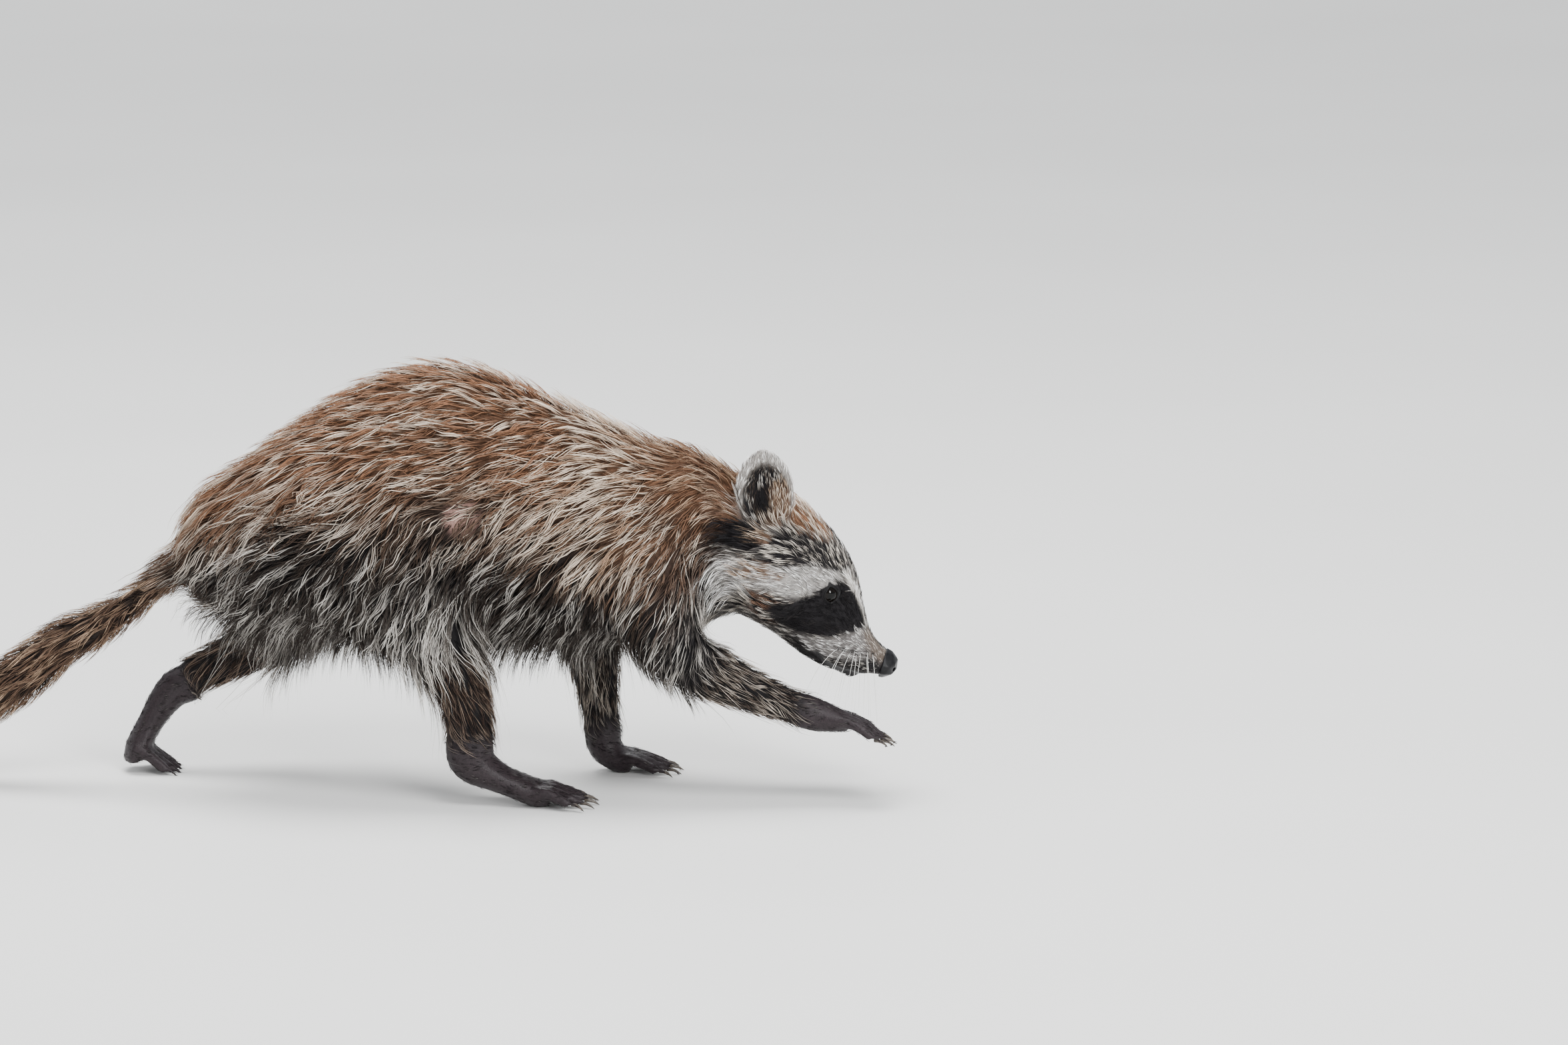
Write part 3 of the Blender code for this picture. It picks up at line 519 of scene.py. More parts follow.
def set_coat_sizes(skin):
    """Depth, length, width and so on of the coat over the whole skin, in metres where they are sizes."""
    s = in_head(skin.places)[:, 0] / MM
    x, _, z = skin.places.T
    for column, key in enumerate(REGION_COLUMNS):
        skin[key] = sum(skin[region] * row[column] for region, row in REGIONS.items())
        if key in HEAD_COAT:
            along = np.interp(s, HEAD_STATIONS, HEAD_COAT[key])
            skin[key] += skin["head"] * (along - REGIONS["head"][column])
    nape = skin["head"] * ramp(s, *NAPE_FROM)
    skin["clump"] += NAPE_CLUMP * nape
    skin["wave"] += NAPE_WAVE * nape
    skin["depth"] *= ramp(z, *FLOOR_CLEAR)
    for key in ("depth", "length", "width", "wave"):
        skin[key] = skin.blended(skin[key], REGION_BLEND) * MM
    shaggy = sum(skin[region] * share for region, share in SHAGGY.items())
    knees = [(centre_of(f"thigh_{side}") + 2 * centre_of(f"shank_{side}")) / 3 for side in SIDES.values()]
    off = [np.sum((skin.places - knee - (0, 0, KNEE_RISE)) ** 2, axis=1) for knee in knees]
    skin["knee"] = sum(np.exp(-square / KNEE_REACH**2) for square in off)
    skin["curly"] = shaggy * fade(z, *CURLY_FADES_UP) * (1 - CURLY_LOST_AHEAD * ramp(x, *CURLY_FADES_AHEAD))
    fringe = np.clip(shaggy * fade(z, *FRINGE_FADES_UP) + skin["knee"], 0, 1)
    skin["length"] += (CURLY_GAIN * skin["curly"] + FRINGE_GAIN * fringe) * MM
    skin["wave"] += CURLY_WAVE * skin["curly"] * MM
    skin["ankle"] = np.clip(ANKLE_GAIN * skin.blended(skin["paw"], ANKLE_BLEND), 0, 1)
    above_paw = skin["ankle"] * (1 - skin["paw"])
    skin["length"] *= 1 - ANKLE_SHORTER * above_paw
    skin["width"] *= 1 - ANKLE_THINNER * above_paw
    underside = ramp(-skin.normals()[:, 2], 0.1, 0.9) * (skin["trunk"] + skin["thigh"] + skin["upper_arm"])
    skin["hang"] += BELLY_HANG * underside + FRINGE_HANG * fringe


def eye_frame(side):
    """Centre, gaze, slit and height directions of one eye."""
    gaze = unit(np.array((GAZE[0], side * GAZE[1], GAZE[2])) @ HEAD_AXES)
    slit = np.array((SLIT[0], side * SLIT[1], SLIT[2])) @ HEAD_AXES
    slit = unit(slit - gaze * (slit @ gaze))
    height = unit(HEAD_UP - gaze * (HEAD_UP @ gaze) - slit * (HEAD_UP @ slit))
    return centre_of(f"eye_{SIDES[side]}"), gaze, slit, height


def open_eyes(skin):
    """Lids that lie on the eyeballs and end in a rolled rim round an almond opening."""
    skin["lid"] = np.zeros(len(skin.places))
    normals = skin.normals()
    ball = EYE_RADIUS * MM
    for side in SIDES:
        centre, gaze, slit, height = eye_frame(side)
        arms = skin.places - centre
        reach = np.linalg.norm(arms, axis=1)
        across = (arms @ slit) / (SLIT_HALF_LENGTH * MM)
        up = (arms @ height) / (SLIT_HALF_HEIGHT * MM)
        taper = 1 - SLIT_TAPER * np.clip(across, -SLIT_TAPER_END, SLIT_TAPER_END) ** 2
        opening = np.hypot(across, up / np.maximum(taper, SLIT_LEAST))
        ahead = (arms @ gaze > LID_AHEAD * reach) & (reach < LID_FAR * ball)
        lid = ball + (LID_OVER_BALL + LID_ROLL * bell(opening - LID_RIM, LID_RIM_BREADTH)) * MM
        wanted = np.where(ahead, reach + (lid - reach) * fade(opening, LID_EDGE, LID_REACH), reach)
        outer = (np.sum(arms * normals, axis=1) > 0) & (reach < BALL_NEAR * ball)
        wanted = np.where(outer, np.maximum(wanted, ball + LID_OVER_BALL * MM), wanted)
        wanted += (SOCKET * ball - wanted) * ahead * fade(opening, *OPENING_EDGE)
        skin.places[:] = centre + arms * (wanted / reach)[:, None]
        skin["lid"] = np.maximum(skin["lid"], ahead * fade(opening, *LID_DARK))


def cut_mouth(skin):
    """The closed mouth's groove on both sides, with the lower lip tucked under the upper."""
    s, _, h = in_head(skin.places).T / MM
    distance = np.full(len(s), np.inf)
    above = np.zeros(len(s))
    for start, end in zip(MOUTH, MOUTH[1:]):
        off_s, off_h = along_line(s, h, start, end)
        nearer = np.hypot(off_s, off_h) < distance
        distance = np.where(nearer, np.hypot(off_s, off_h), distance)
        above = np.where(nearer, off_h, above)
    groove = bell(distance, MOUTH_BREADTH) * MOUTH_DEPTH
    tuck = ramp(-above, *TUCK_BELOW) * bell(distance, TUCK_BREADTH) * TUCK
    skin.places -= skin.normals() * ((groove + tuck) * skin["head"] * MM)[:, None]
    skin["lips"] = bell(distance, LIPS_BREADTH) * skin["head"]
    skin["jaw"] = ramp(-above, *JAW_BELOW) * fade(distance, *JAW_FADE) * skin["head"]


def hollow_ears(skin):
    """The inside of each ear, sunk between its rims and deepest in the slit."""
    for side in SIDES:
        here, along, across, facing, out = ear_measures(skin, side)
        hollow, slit = ear_inside(along, across, facing)
        skin.places -= out * (here * (EAR_SINK * hollow + SLIT_SINK * slit) * MM)[:, None]


def make_skin():
    mesh = melted_flesh()
    for chosen in (on_face, round_eyes, on_lids):
        mesh = finer_where(mesh, chosen)
    skin = Skin(mesh)
    set_regions(skin)
    set_coat_sizes(skin)
    skin.places -= skin.normals() * skin["depth"][:, None]
    body = skin["trunk"] + skin["neck"] + skin["thigh"] + skin["upper_arm"]
    skin.places += (skin.blended(skin.places, BODY_SOFTENING) - skin.places) * body[:, None]
    open_eyes(skin)
    hollow_ears(skin)
    cut_mouth(skin)
    skin.places[:, 2] = np.maximum(skin.places[:, 2], 0.0)
    return mesh, skin


# ---- the lie of the coat

# How steeply the body's hair falls on its way to the rear, by height.
LIE_HEIGHTS = (0.085, 0.115, 0.150, 0.190, 0.235, 0.262)
LIE_FALLS = (2.6, 1.5, 0.70, 0.42, 0.26, 0.16)
EXTRA_FALL = {"thigh": 0.65, "upper_arm": 0.30, "neck": 0.25}
LIMB_CHAINS = (("thigh", "shank", "hind_foot"), ("upper_arm", "forearm", "hand"))
PAW_LIE = np.array((1.0, 0.0, -0.15))
EAR_ROOT = np.array((117.5, 37.0, 11.0)) * MM  # of the left ear, in the head's frame
MUZZLE_FALL, CHEEK_FALL, CHEEK_FROM = 0.40, 0.62, (35, 75)
WHORL_AT = np.array((0.044, -0.066, 0.176))  # a nearly bare patch on the right flank
WHORL_RADIUS = 15 * MM
WHORL_SWIRL, SWIRL_REACH, WHORL_THINNER, WHORL_SHORTER = 0.8, 1.4, 0.78, 0.5


def ear_root(side):
    return from_head(EAR_ROOT * (1, side, 1))


def lie_of_node(node, places, normals):
    """The way the hair of one solid lies, at those places or the same for all of them."""
    word, suffix = node.rsplit("_", 1) if "_" in node else (node, "")
    for upper, lower, paw in LIMB_CHAINS:
        if word == lower:
            return unit(centre_of(f"{paw}_{suffix}") - centre_of(f"{upper}_{suffix}"))
        if word == paw:
            return unit(PAW_LIE)
    if word == "tail":
        return unit(centre_of("tail_tip") - centre_of("tail_base"))
    if word == "ear":
        return unit(centre_of(node) - ear_root(1 if suffix == "left" else -1))
    if node in ("head", *APART):
        s = in_head(places)[:, 0] / MM
        fall = MUZZLE_FALL + (CHEEK_FALL - MUZZLE_FALL) * ramp(s, *CHEEK_FROM)
        return unit(HEAD_BACK - (np.abs(normals @ HEAD_LEFT) * fall)[:, None] * HEAD_UP)
    fall = np.interp(places[:, 2], LIE_HEIGHTS, LIE_FALLS) + EXTRA_FALL.get(region_name(node), 0.0)
    return unit(DOWN * fall[:, None] - (1.0, 0.0, 0.0))


def set_lie(skin):
    normals = skin.normals()
    lie = np.zeros_like(skin.places)
    for index, node in enumerate(frame["nodes"]):
        here = skin["node"] == index
        lie[here] = lie_of_node(node, skin.places[here], normals[here])
    lie = skin.blended(skin.along_surface(lie), LIE_BLEND)
    arms = skin.places - WHORL_AT
    far = np.linalg.norm(arms, axis=1)
    lie += WHORL_SWIRL * bell(far, SWIRL_REACH * WHORL_RADIUS)[:, None] * unit(arms)
    skin["lie"] = skin.along_surface(lie)
    skin["bald"] = bell(far, WHORL_RADIUS)
    skin["density"] = skin["density"] * (1 - WHORL_THINNER * skin["bald"])
    skin["length"] = skin["length"] * (1 - WHORL_SHORTER * bell(far, 2 * WHORL_RADIUS))


# ---- colours of skin and coat

# Where markings and the painted shade low on the body begin and end, by x, height, or how far the skin faces up or
# down.
FACES_UP, FACES_DOWN_SHADED = (-0.05, 0.7), (0.0, 0.7)
SHADE_STATIONS, SHADE_HEIGHTS = (-0.13, -0.07, 0.0, 0.08, 0.14), (0.172, 0.204, 0.198, 0.188, 0.146)
SHADE_WANDER, SHADE_BLEND = 0.030, 0.040
SHOULDER_FROM = (0.12, 0.16)
WITHERS_AT, WITHERS_BREADTH = 0.135, 0.020
RUMP_BEHIND = (0.03, 0.12)
NAPE_AHEAD, NAPE_ABOVE = (0.150, 0.180), (0.150, 0.190)
THROAT_AHEAD, THROAT_BELOW = (0.15, 0.19), (0.115, 0.165)
BROAD_PATCH, FINE_PATCH, TOP_WANDER = 30 * MM, 9 * MM, 0.5
KNEE_GAIN = 1.3
RUMP_SHARE, RUMP_SPECKLE = 0.2, 0.5
TAIL_RING = 37 * MM  # from one dark ring to the next
RING_WANDER, RING_EDGE, PALE_SHARE, RING_SHARE = 1.1, (-0.35, 0.55), 0.30, 0.60
# painted shade: the hide under the hair is darkened to a share of the colour near the skin, less on the head
HIDE_SHADE, HEAD_HIDE_SHADE = 0.6, 0.35  # of the hide under the hair, and what the head's has more
PINK_SHARE, PINK_FROM = 0.85, (0.25, 0.7)
EAR_HOLLOW, EAR_HOLLOW_AT = (21.5, 15.0), -4.4  # half length and half width of the inside, and its middle, mm
EAR_SLIT, EAR_SLIT_AT = (14.0, 5.0), (-5.0, -2.0)  # the black slit in it
EAR_EDGE, EAR_OPEN, HOLLOW_EDGE, SLIT_EDGE = (0.25, 0.75), (-0.1, 0.35), (0.85, 1.1), (0.45, 1.35)
EAR_FACING = np.array((-0.28, 0.94, -0.10))  # of the left ear
WHISKER_ROWS = ((17, -4.5, 2), (19, -8, 3), (24, -11.5, 3), (31, -15, 2))  # s, h, hairs in the row
WHISKER_STEP = (3.6, -1.2)  # from one hair of a row to the next
WHISKER_SPOT, WHISKER_SPOT_DARK = (0.57, 1.425), 0.85


def paint(skin):
    """The looks of the coat and the colour of the hide over the whole animal, with painted shade on the lower body
    and under the hair.
    """
    places, normals = skin.places, skin.normals()
    x, z = places[:, 0], places[:, 2]
    broad, fine = speckle(places, BROAD_PATCH, 1), speckle(places, FINE_PATCH, 2)
    top = ramp(normals[:, 2] + TOP_WANDER * (broad - 0.5), *FACES_UP)
    # painted shade: the coat is darkened below a wandering height and where the skin faces down
    shade_below = np.interp(x, SHADE_STATIONS, SHADE_HEIGHTS) + SHADE_WANDER * (broad - 0.5)
    low = fade(z, shade_below - SHADE_BLEND, shade_below)
    base, tip = centre_of("tail_base"), centre_of("tail_tip")
    along = (places - base) @ unit(tip - base)
    ring = ramp(np.sin(along / TAIL_RING * TAU) + RING_WANDER * (fine - 0.5), *RING_EDGE)
    looks = np.tile(FLANK, (len(places), 1))
    for marking, weight in (
        (BACK, top),
        (SHOULDER, ramp(x, *SHOULDER_FROM) * (1 - top)),
        # painted shade on the lower body and underside
        (LOW_SHADE, np.clip(low + ramp(-normals[:, 2], *FACES_DOWN_SHADED), 0, 1)),
        (KNEE_FRINGE, np.clip(KNEE_GAIN * skin["knee"], 0, 1)),
        (WITHERS, top * bell(x - WITHERS_AT, WITHERS_BREADTH)),
        (NAPE, top * ramp(-x, *RUMP_BEHIND) * (RUMP_SHARE + RUMP_SPECKLE * fine)),
        (NAPE, ramp(x, *NAPE_AHEAD) * ramp(z, *NAPE_ABOVE)),
        (THROAT, ramp(x, *THROAT_AHEAD) * fade(z, *THROAT_BELOW)),
        (SHANK, skin["shank"]),
        (FOREARM, skin["forearm"]),
        (PAW, skin["ankle"]),
        (TAIL_DARK, skin["tail"]),
        (TAIL_PALE, skin["tail"] * (PALE_SHARE + RING_SHARE * ring)),
    ):
        looks = mixed(looks, marking, weight)
    skin["looks"] = paint_ears(skin, paint_face(skin, looks))

    skin["bare"] = np.clip(skin["paw"] + 0.9 * skin["lid"] + skin["lips"], 0, 1)
    # painted shade on the hide under the hair
    hide = skin["looks"][:, :3] * (HIDE_SHADE + HEAD_HIDE_SHADE * skin["head"][:, None])
    for colour, weight in (
        (BLACK, skin["bare"]),
        (np.array(BLACK) * LID_HIDE, skin["lid"]),
        (PAW_HIDE, skin["paw"]),
        (PINK, PINK_SHARE * ramp(skin["bald"], *PINK_FROM)),
    ):
        hide = mixed(hide, colour, weight)
    skin["hide"] = hide


def whisker_places():
    """(s, h) of every whisker's root, millimetres."""
    step_s, step_h = WHISKER_STEP
    return [(s + hair * step_s, h + hair * step_h) for s, h, hairs in WHISKER_ROWS for hair in range(hairs)]


def paint_face(skin, looks):
    s, y, h = in_head(skin.places).T / MM
    head = skin["head"]
    coarse, fine = (speckle(skin.places, size, seed) - 0.5 for size, seed in zip(WANDER_SIZES, (5, 6)))
    wander = coarse + WANDER_FINE * fine
    looks = mixed(looks, FACE, head)
    on_marks = np.clip(head + skin["ear"] + skin["neck"] * fade(s, *MARKS_END), 0, 1)
    for softness, marking, outline in FACE_MARKS.values():
        depth = inside(s, h, outline) + MARK_WANDER * softness * wander
        looks = mixed(looks, marking, ramp(depth, -softness, softness) * on_marks)
    half = np.interp(s, STRIPE_STATIONS, STRIPE_HALF_WIDTHS)
    crest = ramp(skin.normals() @ HEAD_UP, *CREST) * fade(s, *STRIPE_ENDS)
    depth = half + STRIPE_WANDER * wander - np.abs(y)
    looks = mixed(looks, STRIPE, ramp(depth, -STRIPE_SOFTNESS, STRIPE_SOFTNESS) * crest * head)
    darks = []
    for side in SIDES:
        centre, gaze, _, _ = eye_frame(side)
        off = np.linalg.norm(skin.places - centre - gaze * EYE_RADIUS * MM, axis=1) / MM
        darks.append(fade(off + wander, *EYE_PATCH) * head)
    spots = np.minimum.reduce([np.hypot(s - ws, h - wh) for ws, wh in whisker_places()])
    darks.append(WHISKER_SPOT_DARK * fade(spots, *WHISKER_SPOT) * head)
    for dark in (*darks, skin["lips"], JAW_DARK * skin["jaw"], skin["lid"], head * fade(s, *NOSE_DARK)):
        looks = mixed(looks, BARE_BLACK, dark)
    return looks


def ear_measures(skin, side):
    """How far vertices belong to one ear, their places along it and across it to the front, from its middle in
    mm, how much they face outwards, and the way outwards."""
    middle = centre_of(f"ear_{SIDES[side]}")
    lean = unit(middle - ear_root(side))
    facing = (EAR_FACING * (1, side, 1)) @ HEAD_AXES
    facing = unit(facing - lean * (facing @ lean))
    arms = (skin.places - middle) / MM
    here = ramp(skin["ear"], *EAR_EDGE) * (in_head(skin.places)[:, 1] * side > 0)
    return here, arms @ lean, side * (arms @ np.cross(facing, lean)), skin.normals() @ facing, facing


def ear_inside(along, across, facing):
    """How far a vertex lies in an ear's hollow, and how far in the slit in its middle."""
    hollow = np.hypot((along - EAR_HOLLOW_AT) / EAR_HOLLOW[0], across / EAR_HOLLOW[1])
    slit = np.hypot((along - EAR_SLIT_AT[0]) / EAR_SLIT[0], (across - EAR_SLIT_AT[1]) / EAR_SLIT[1])
    open_side = ramp(facing, *EAR_OPEN)
    return fade(hollow, *HOLLOW_EDGE) * open_side, fade(slit, *SLIT_EDGE) * open_side


def paint_ears(skin, looks):
    for side in SIDES:
        here, along, across, facing, _ = ear_measures(skin, side)
        hollow, slit = ear_inside(along, across, facing)
        for marking, weight in (
            (EAR_RIM, 1.0),
            (EAR_BACK, fade(facing, -0.5, 0.0) * fade(along, -2, 12)),
            (EAR_INSIDE, hollow),
            (EAR_FRONT, hollow * ramp(across, 0.0, 7.0) * fade(along, -2, 9)),
            (EAR_FRONT, fade(along, -19, -9) * ramp(across, -7, -1)),
            (BARE_BLACK, slit),
        ):
            looks = mixed(looks, marking, here * weight)
    return looks


# ---- the coat

ROOT_SINK = 0.6 * MM
FLOOR_GAP = 0.3 * MM
TUFT_PATCH = 0.003  # of a tuft on the coat's map
PIECE_TRIANGLES = 190000
WIDTH_STATIONS, WIDTH_SHARES = (0.0, 0.25, 0.7, 1.0), (0.70, 1.00, 0.72, 0.0)
RIDGE = 0.42  # a tuft's thickness as a share of its width
# painted shade: tufts are darkened towards their roots, where the coat shades them
ROOT_SHADE, HEAD_ROOT_SHADE = 0.30, 0.60  # a tuft is this bright at its root
ROOT_SHADE_END, TIP_COLOUR_FROM = 0.45, (0.12, 0.62)  # along a tuft
BRIGHTNESS_SPREAD, BRIGHTNESS_LIMITS = 0.16, (0.55, 1.5)
WIDTH_SPREAD, WIDTH_LIMITS = (-0.12, 0.36), (0.35, 1.6)
STRAY_SHARE, STRAY_CLUMP, STRAY_WIDTH, STRAY_LIFT = 0.08, 0.15, 0.5, (0.5, 2.2)
LOCK_LENGTHS, TUFT_REACHES, LOCK_WAVES = (0.75, 1.15), (0.72, 1.0), (0.5, 1.5)  # as shares, by chance
CLUMPS, CLUMP_LIMIT = (0.8, 1.15), 0.96
LOCK_TURN, PATCH_TURN = math.radians(11), math.radians(17)
TURN_PATCH, WAVE_PATCH = 28 * MM, 22 * MM  # size of the patches that turn and wave alike
WAVE_LENGTH = 19 * MM
HANG_FREES = 2.2  # how much a lock that hangs may leave its height over the skin
LOOSENESS = 0.035  # of single tufts, as a share of their length
CURL_TURNS, CURL_SHARE = 1.6, 0.35
CONTRAST, CONTRAST_NOISE = 2.4, 0.25  # of pale locks to dull ones
LIPS_BARE = (0.4, 0.8)
THINNING = 1.0

# Layers of the coat: where it grows and on what field, its slot, its density and sizes as shares of the region's,
# how high its locks stand as shares of the coat's depth, how many more of them are pale, rings along a tuft,
# tufts in a lock, random seed.
BODY, LEGS = ("trunk", "neck", "thigh", "upper_arm"), ("shank", "forearm")
LAYER_COLUMNS = ("on", "where", "slot", "density", "length", "width", "stand", "pale", "rings", "lock", "seed")
COATS = {
    "coat_under": (BODY, None, "coat_grizzled", 0.50, 0.55, 0.85, (0.15, 0.65), -0.16, 3, 3, 10),
    "coat_body": (BODY, None, "coat_grizzled", 0.67, 1.00, 0.86, (0.45, 1.05), 0.0, 4, 3, 11),
    "coat_locks": (BODY, "curly", "coat_grizzled", 0.36, 1.20, 0.62, (0.75, 1.25), 0.20, 8, 4, 15),
    "coat_tail": (("tail",), None, "coat_tail", 1.0, 1.0, 1.0, (0.35, 1.05), 0.0, 4, 3, 12),
    "coat_legs": ((*LEGS, "paw"), None, "coat_legs", 1.0, 1.0, 1.0, (0.45, 1.10), 0.0, 3, 4, 13),
    "coat_strands": (LEGS, None, "coat_legs", 0.16, 2.5, 0.55, (0.9, 2.0), 0.60, 6, 2, 16),
    "coat_head": (("head", "ear"), None, "coat_face", 1.0, 1.0, 1.0, (0.45, 1.10), 0.0, 3, 4, 14),
}
READ_AT_ROOT = ("depth", "length", "width", "clump", "wave", "hang", "lie", "looks")

# The coat's map, in metres and shares of it: where the fore legs begin and stand, how far apart legs are, and how
# high they reach; the head's length; the body's start and share.
FORE_LEGS_FROM, FORE_LEG_MIDDLE, LEG_OFF_MIDDLE = 0.08, 0.18, 0.05
LEG_SHARE, LEG_SCALE, LEG_HEIGHT = 0.48, 4.2, 0.115
HEAD_LENGTH = 0.175
BODY_START, BODY_SHARE = 0.1, 0.8


def roots_on(skin, weight, rng):
    """Random places on the skin, with weight times the coat's density of them to the square centimetre."""
    a, b, c = skin.places[skin.triangles.T]
    area = np.linalg.norm(np.cross(b - a, c - a), axis=1) / 2
    wanted = weight * skin["density"] * 1e4 * THINNING
    total = np.cumsum(area * wanted[skin.triangles].mean(axis=1))
    chosen = np.searchsorted(total, rng.random(int(total[-1])) * total[-1])
    first, second = rng.random((2, len(chosen)))
    folded = first + second > 1
    first, second = np.where(folded, 1 - first, first), np.where(folded, 1 - second, second)
    parts = np.stack((1 - first - second, first, second), axis=1)

    def read(values):
        return np.einsum("ij,ij...->i...", parts, values[skin.triangles[chosen]])

    found = {name: read(skin[name]) for name in READ_AT_ROOT}
    found["place"], found["normal"] = read(skin.places), unit(read(skin.normals()))
    return found


def tree_of(points):
    tree = KDTree(len(points))
    for index, point in enumerate(points):
        tree.insert(point, index)
    tree.balance()
    return tree


def nearest_in(tree, points):
    return np.fromiter((tree.find(point)[1] for point in points), int, len(points))


def turned(vectors, axes, angles):
    return vectors * np.cos(angles)[:, None] + np.cross(axes, vectors) * np.sin(angles)[:, None]


def lock_paths(skin, tree, at, steps, heights, rng):
    """Paths of the locks' middles: they rise to their height in the coat and follow the lie of the hair."""
    count = len(at["place"])
    length = at["length"] * rng.uniform(*LOCK_LENGTHS, count)
    stand = at["depth"] * rng.uniform(*heights, count)
    patches = (speckle(at["place"], TURN_PATCH, 3) - 0.5) * 2 * PATCH_TURN
    turn = patches + rng.normal(0, LOCK_TURN, count)
    kept = 1 - np.clip(HANG_FREES * at["hang"], 0, 1)
    points = [at["place"] - at["normal"] * ROOT_SINK]
    normals = [at["normal"]]
    for step in range(1, steps + 1):
        share = step / steps
        near = nearest_in(tree, points[-1])
        normal = skin["normal"][near]
        pull = (at["hang"] * share)[:, None]
        ahead = unit(turned(skin["lie"][near], normal, turn) * (1 - pull) + DOWN * pull)
        point = points[-1] + ahead * (length / steps)[:, None]
        rise = np.sum((point - skin.places[near]) * normal, axis=1)
        change = stand * (1 - (1 - share) ** 2) - rise
        change = np.where(change < 0, change * kept, change)
        points.append(point + normal * change[:, None])
        normals.append(normal)
    paths, normals = np.stack(points, axis=1), np.stack(normals, axis=1)
    shares = np.linspace(0, 1, steps + 1)
    phase = (rng.random(count) * 0.5 + speckle(at["place"], WAVE_PATCH, 4))[:, None]
    bends = np.sin((shares * (length / WAVE_LENGTH)[:, None] + phase) * TAU) - np.sin(phase * TAU)
    across = np.cross(unit(np.gradient(paths, axis=1)), normals)
    swing = (at["wave"] * rng.uniform(*LOCK_WAVES, count))[:, None] * bends * shares**0.8
    return paths + across * swing[..., None], normals


def resampled(paths, reach):
    """Each path cut off at that share of its length, with as many points as before."""
    steps = paths.shape[1] - 1
    places = np.linspace(0, 1, steps + 1) * reach[:, None] * steps
    start = np.minimum(places.astype(int), steps - 1)
    share = (places - start)[..., None]
    rows = np.arange(len(paths))[:, None]
    return paths[rows, start] * (1 - share) + paths[rows, start + 1] * share


def add_paths(skin, tree, tufts, layer, rng):
    """Every tuft's middle line: its lock's path moved to its own root and drawn together towards the tip."""
    count, shares = len(tufts["place"]), np.linspace(0, 1, layer["rings"] + 1)
    leaders = rng.choice(count, max(count // layer["lock"], 1), replace=False)
    lock = nearest_in(tree_of(tufts["place"][leaders]), tufts["place"])
    at = {key: value[leaders] for key, value in tufts.items()}
    paths, normals = lock_paths(skin, tree, at, layer["rings"], layer["stand"], rng)
    stray = rng.random(count) < STRAY_SHARE
    reach = np.where(stray, 1.0, rng.uniform(*TUFT_REACHES, count))
    followed, normals = resampled(paths[lock], reach), normals[lock]
    drawn = np.clip(tufts["clump"] * rng.uniform(*CLUMPS, count), 0, CLUMP_LIMIT)
    drawn = drawn * np.where(stray, STRAY_CLUMP, 1.0)
    offset = tufts["place"] - tufts["normal"] * ROOT_SINK - paths[lock, 0]
    lines = followed + offset[:, None, :] * (1 - drawn[:, None] * shares**0.7)[..., None]
    across = unit(np.cross(unit(np.gradient(lines, axis=1)), normals))
    loose = (tufts["length"] * LOOSENESS)[:, None] * shares**1.5
    sway = rng.normal(0, 1, count)[:, None] * loose
    lift = np.where(stray, rng.uniform(*STRAY_LIFT, count), rng.normal(0, 0.5, count))[:, None] * loose
    curl = np.sin((shares * CURL_TURNS + rng.random(count)[:, None]) * TAU) * shares
    sway = sway + (CURL_SHARE * tufts["wave"])[:, None] * curl
    dim = rng.random(len(leaders))[lock]
    noise_of_tuft = rng.normal(0, CONTRAST_NOISE, count)
    tufts["pale"] = np.clip(0.5 + CONTRAST * (tufts["looks"][:, 9] + layer["pale"] - dim) + noise_of_tuft, 0, 1)
    tufts["lines"] = lines + across * sway[..., None] + normals * lift[..., None]
    tufts["across"], tufts["normals"] = across, normals
    spread = np.clip(rng.lognormal(*WIDTH_SPREAD, count), *WIDTH_LIMITS)
    tufts["width"] = tufts["width"] * layer["width"] * spread * np.where(stray, STRAY_WIDTH, 1.0)


def chart(points, coat):
    """A map of the skin's own shape: round and along the body, the tail, the head or each leg."""
    if coat in ("coat_legs", "coat_strands"):
        fore, left = points[:, 0] > FORE_LEGS_FROM, points[:, 1] > 0
        across = points[:, 1] - np.where(left, LEG_OFF_MIDDLE, -LEG_OFF_MIDDLE)
        around = np.arctan2(across, points[:, 0] - FORE_LEG_MIDDLE * fore) / TAU + 0.5
        height = LEG_SCALE * np.clip(points[:, 2], 0, LEG_HEIGHT)
        return np.stack((0.5 * fore + LEG_SHARE * around, 0.5 * left + height), axis=1)
    if coat == "coat_head":
        s, y, h = in_head(points).T
        return np.stack((np.clip(s / HEAD_LENGTH, 0, 1), np.arctan2(y, h) / TAU + 0.5), axis=1)
    start, end = centre_of("tail_base"), centre_of("tail_tip" if coat == "coat_tail" else "neck")
    reach = np.linalg.norm(end - start)
    line = (end - start) / reach
    arms = points - start
    around = np.arctan2(arms[:, 1], arms @ np.cross(line, (0.0, 1.0, 0.0))) / TAU + 0.5
    return np.stack((np.clip(BODY_START + BODY_SHARE * (arms @ line) / reach, 0, 1), around), axis=1)


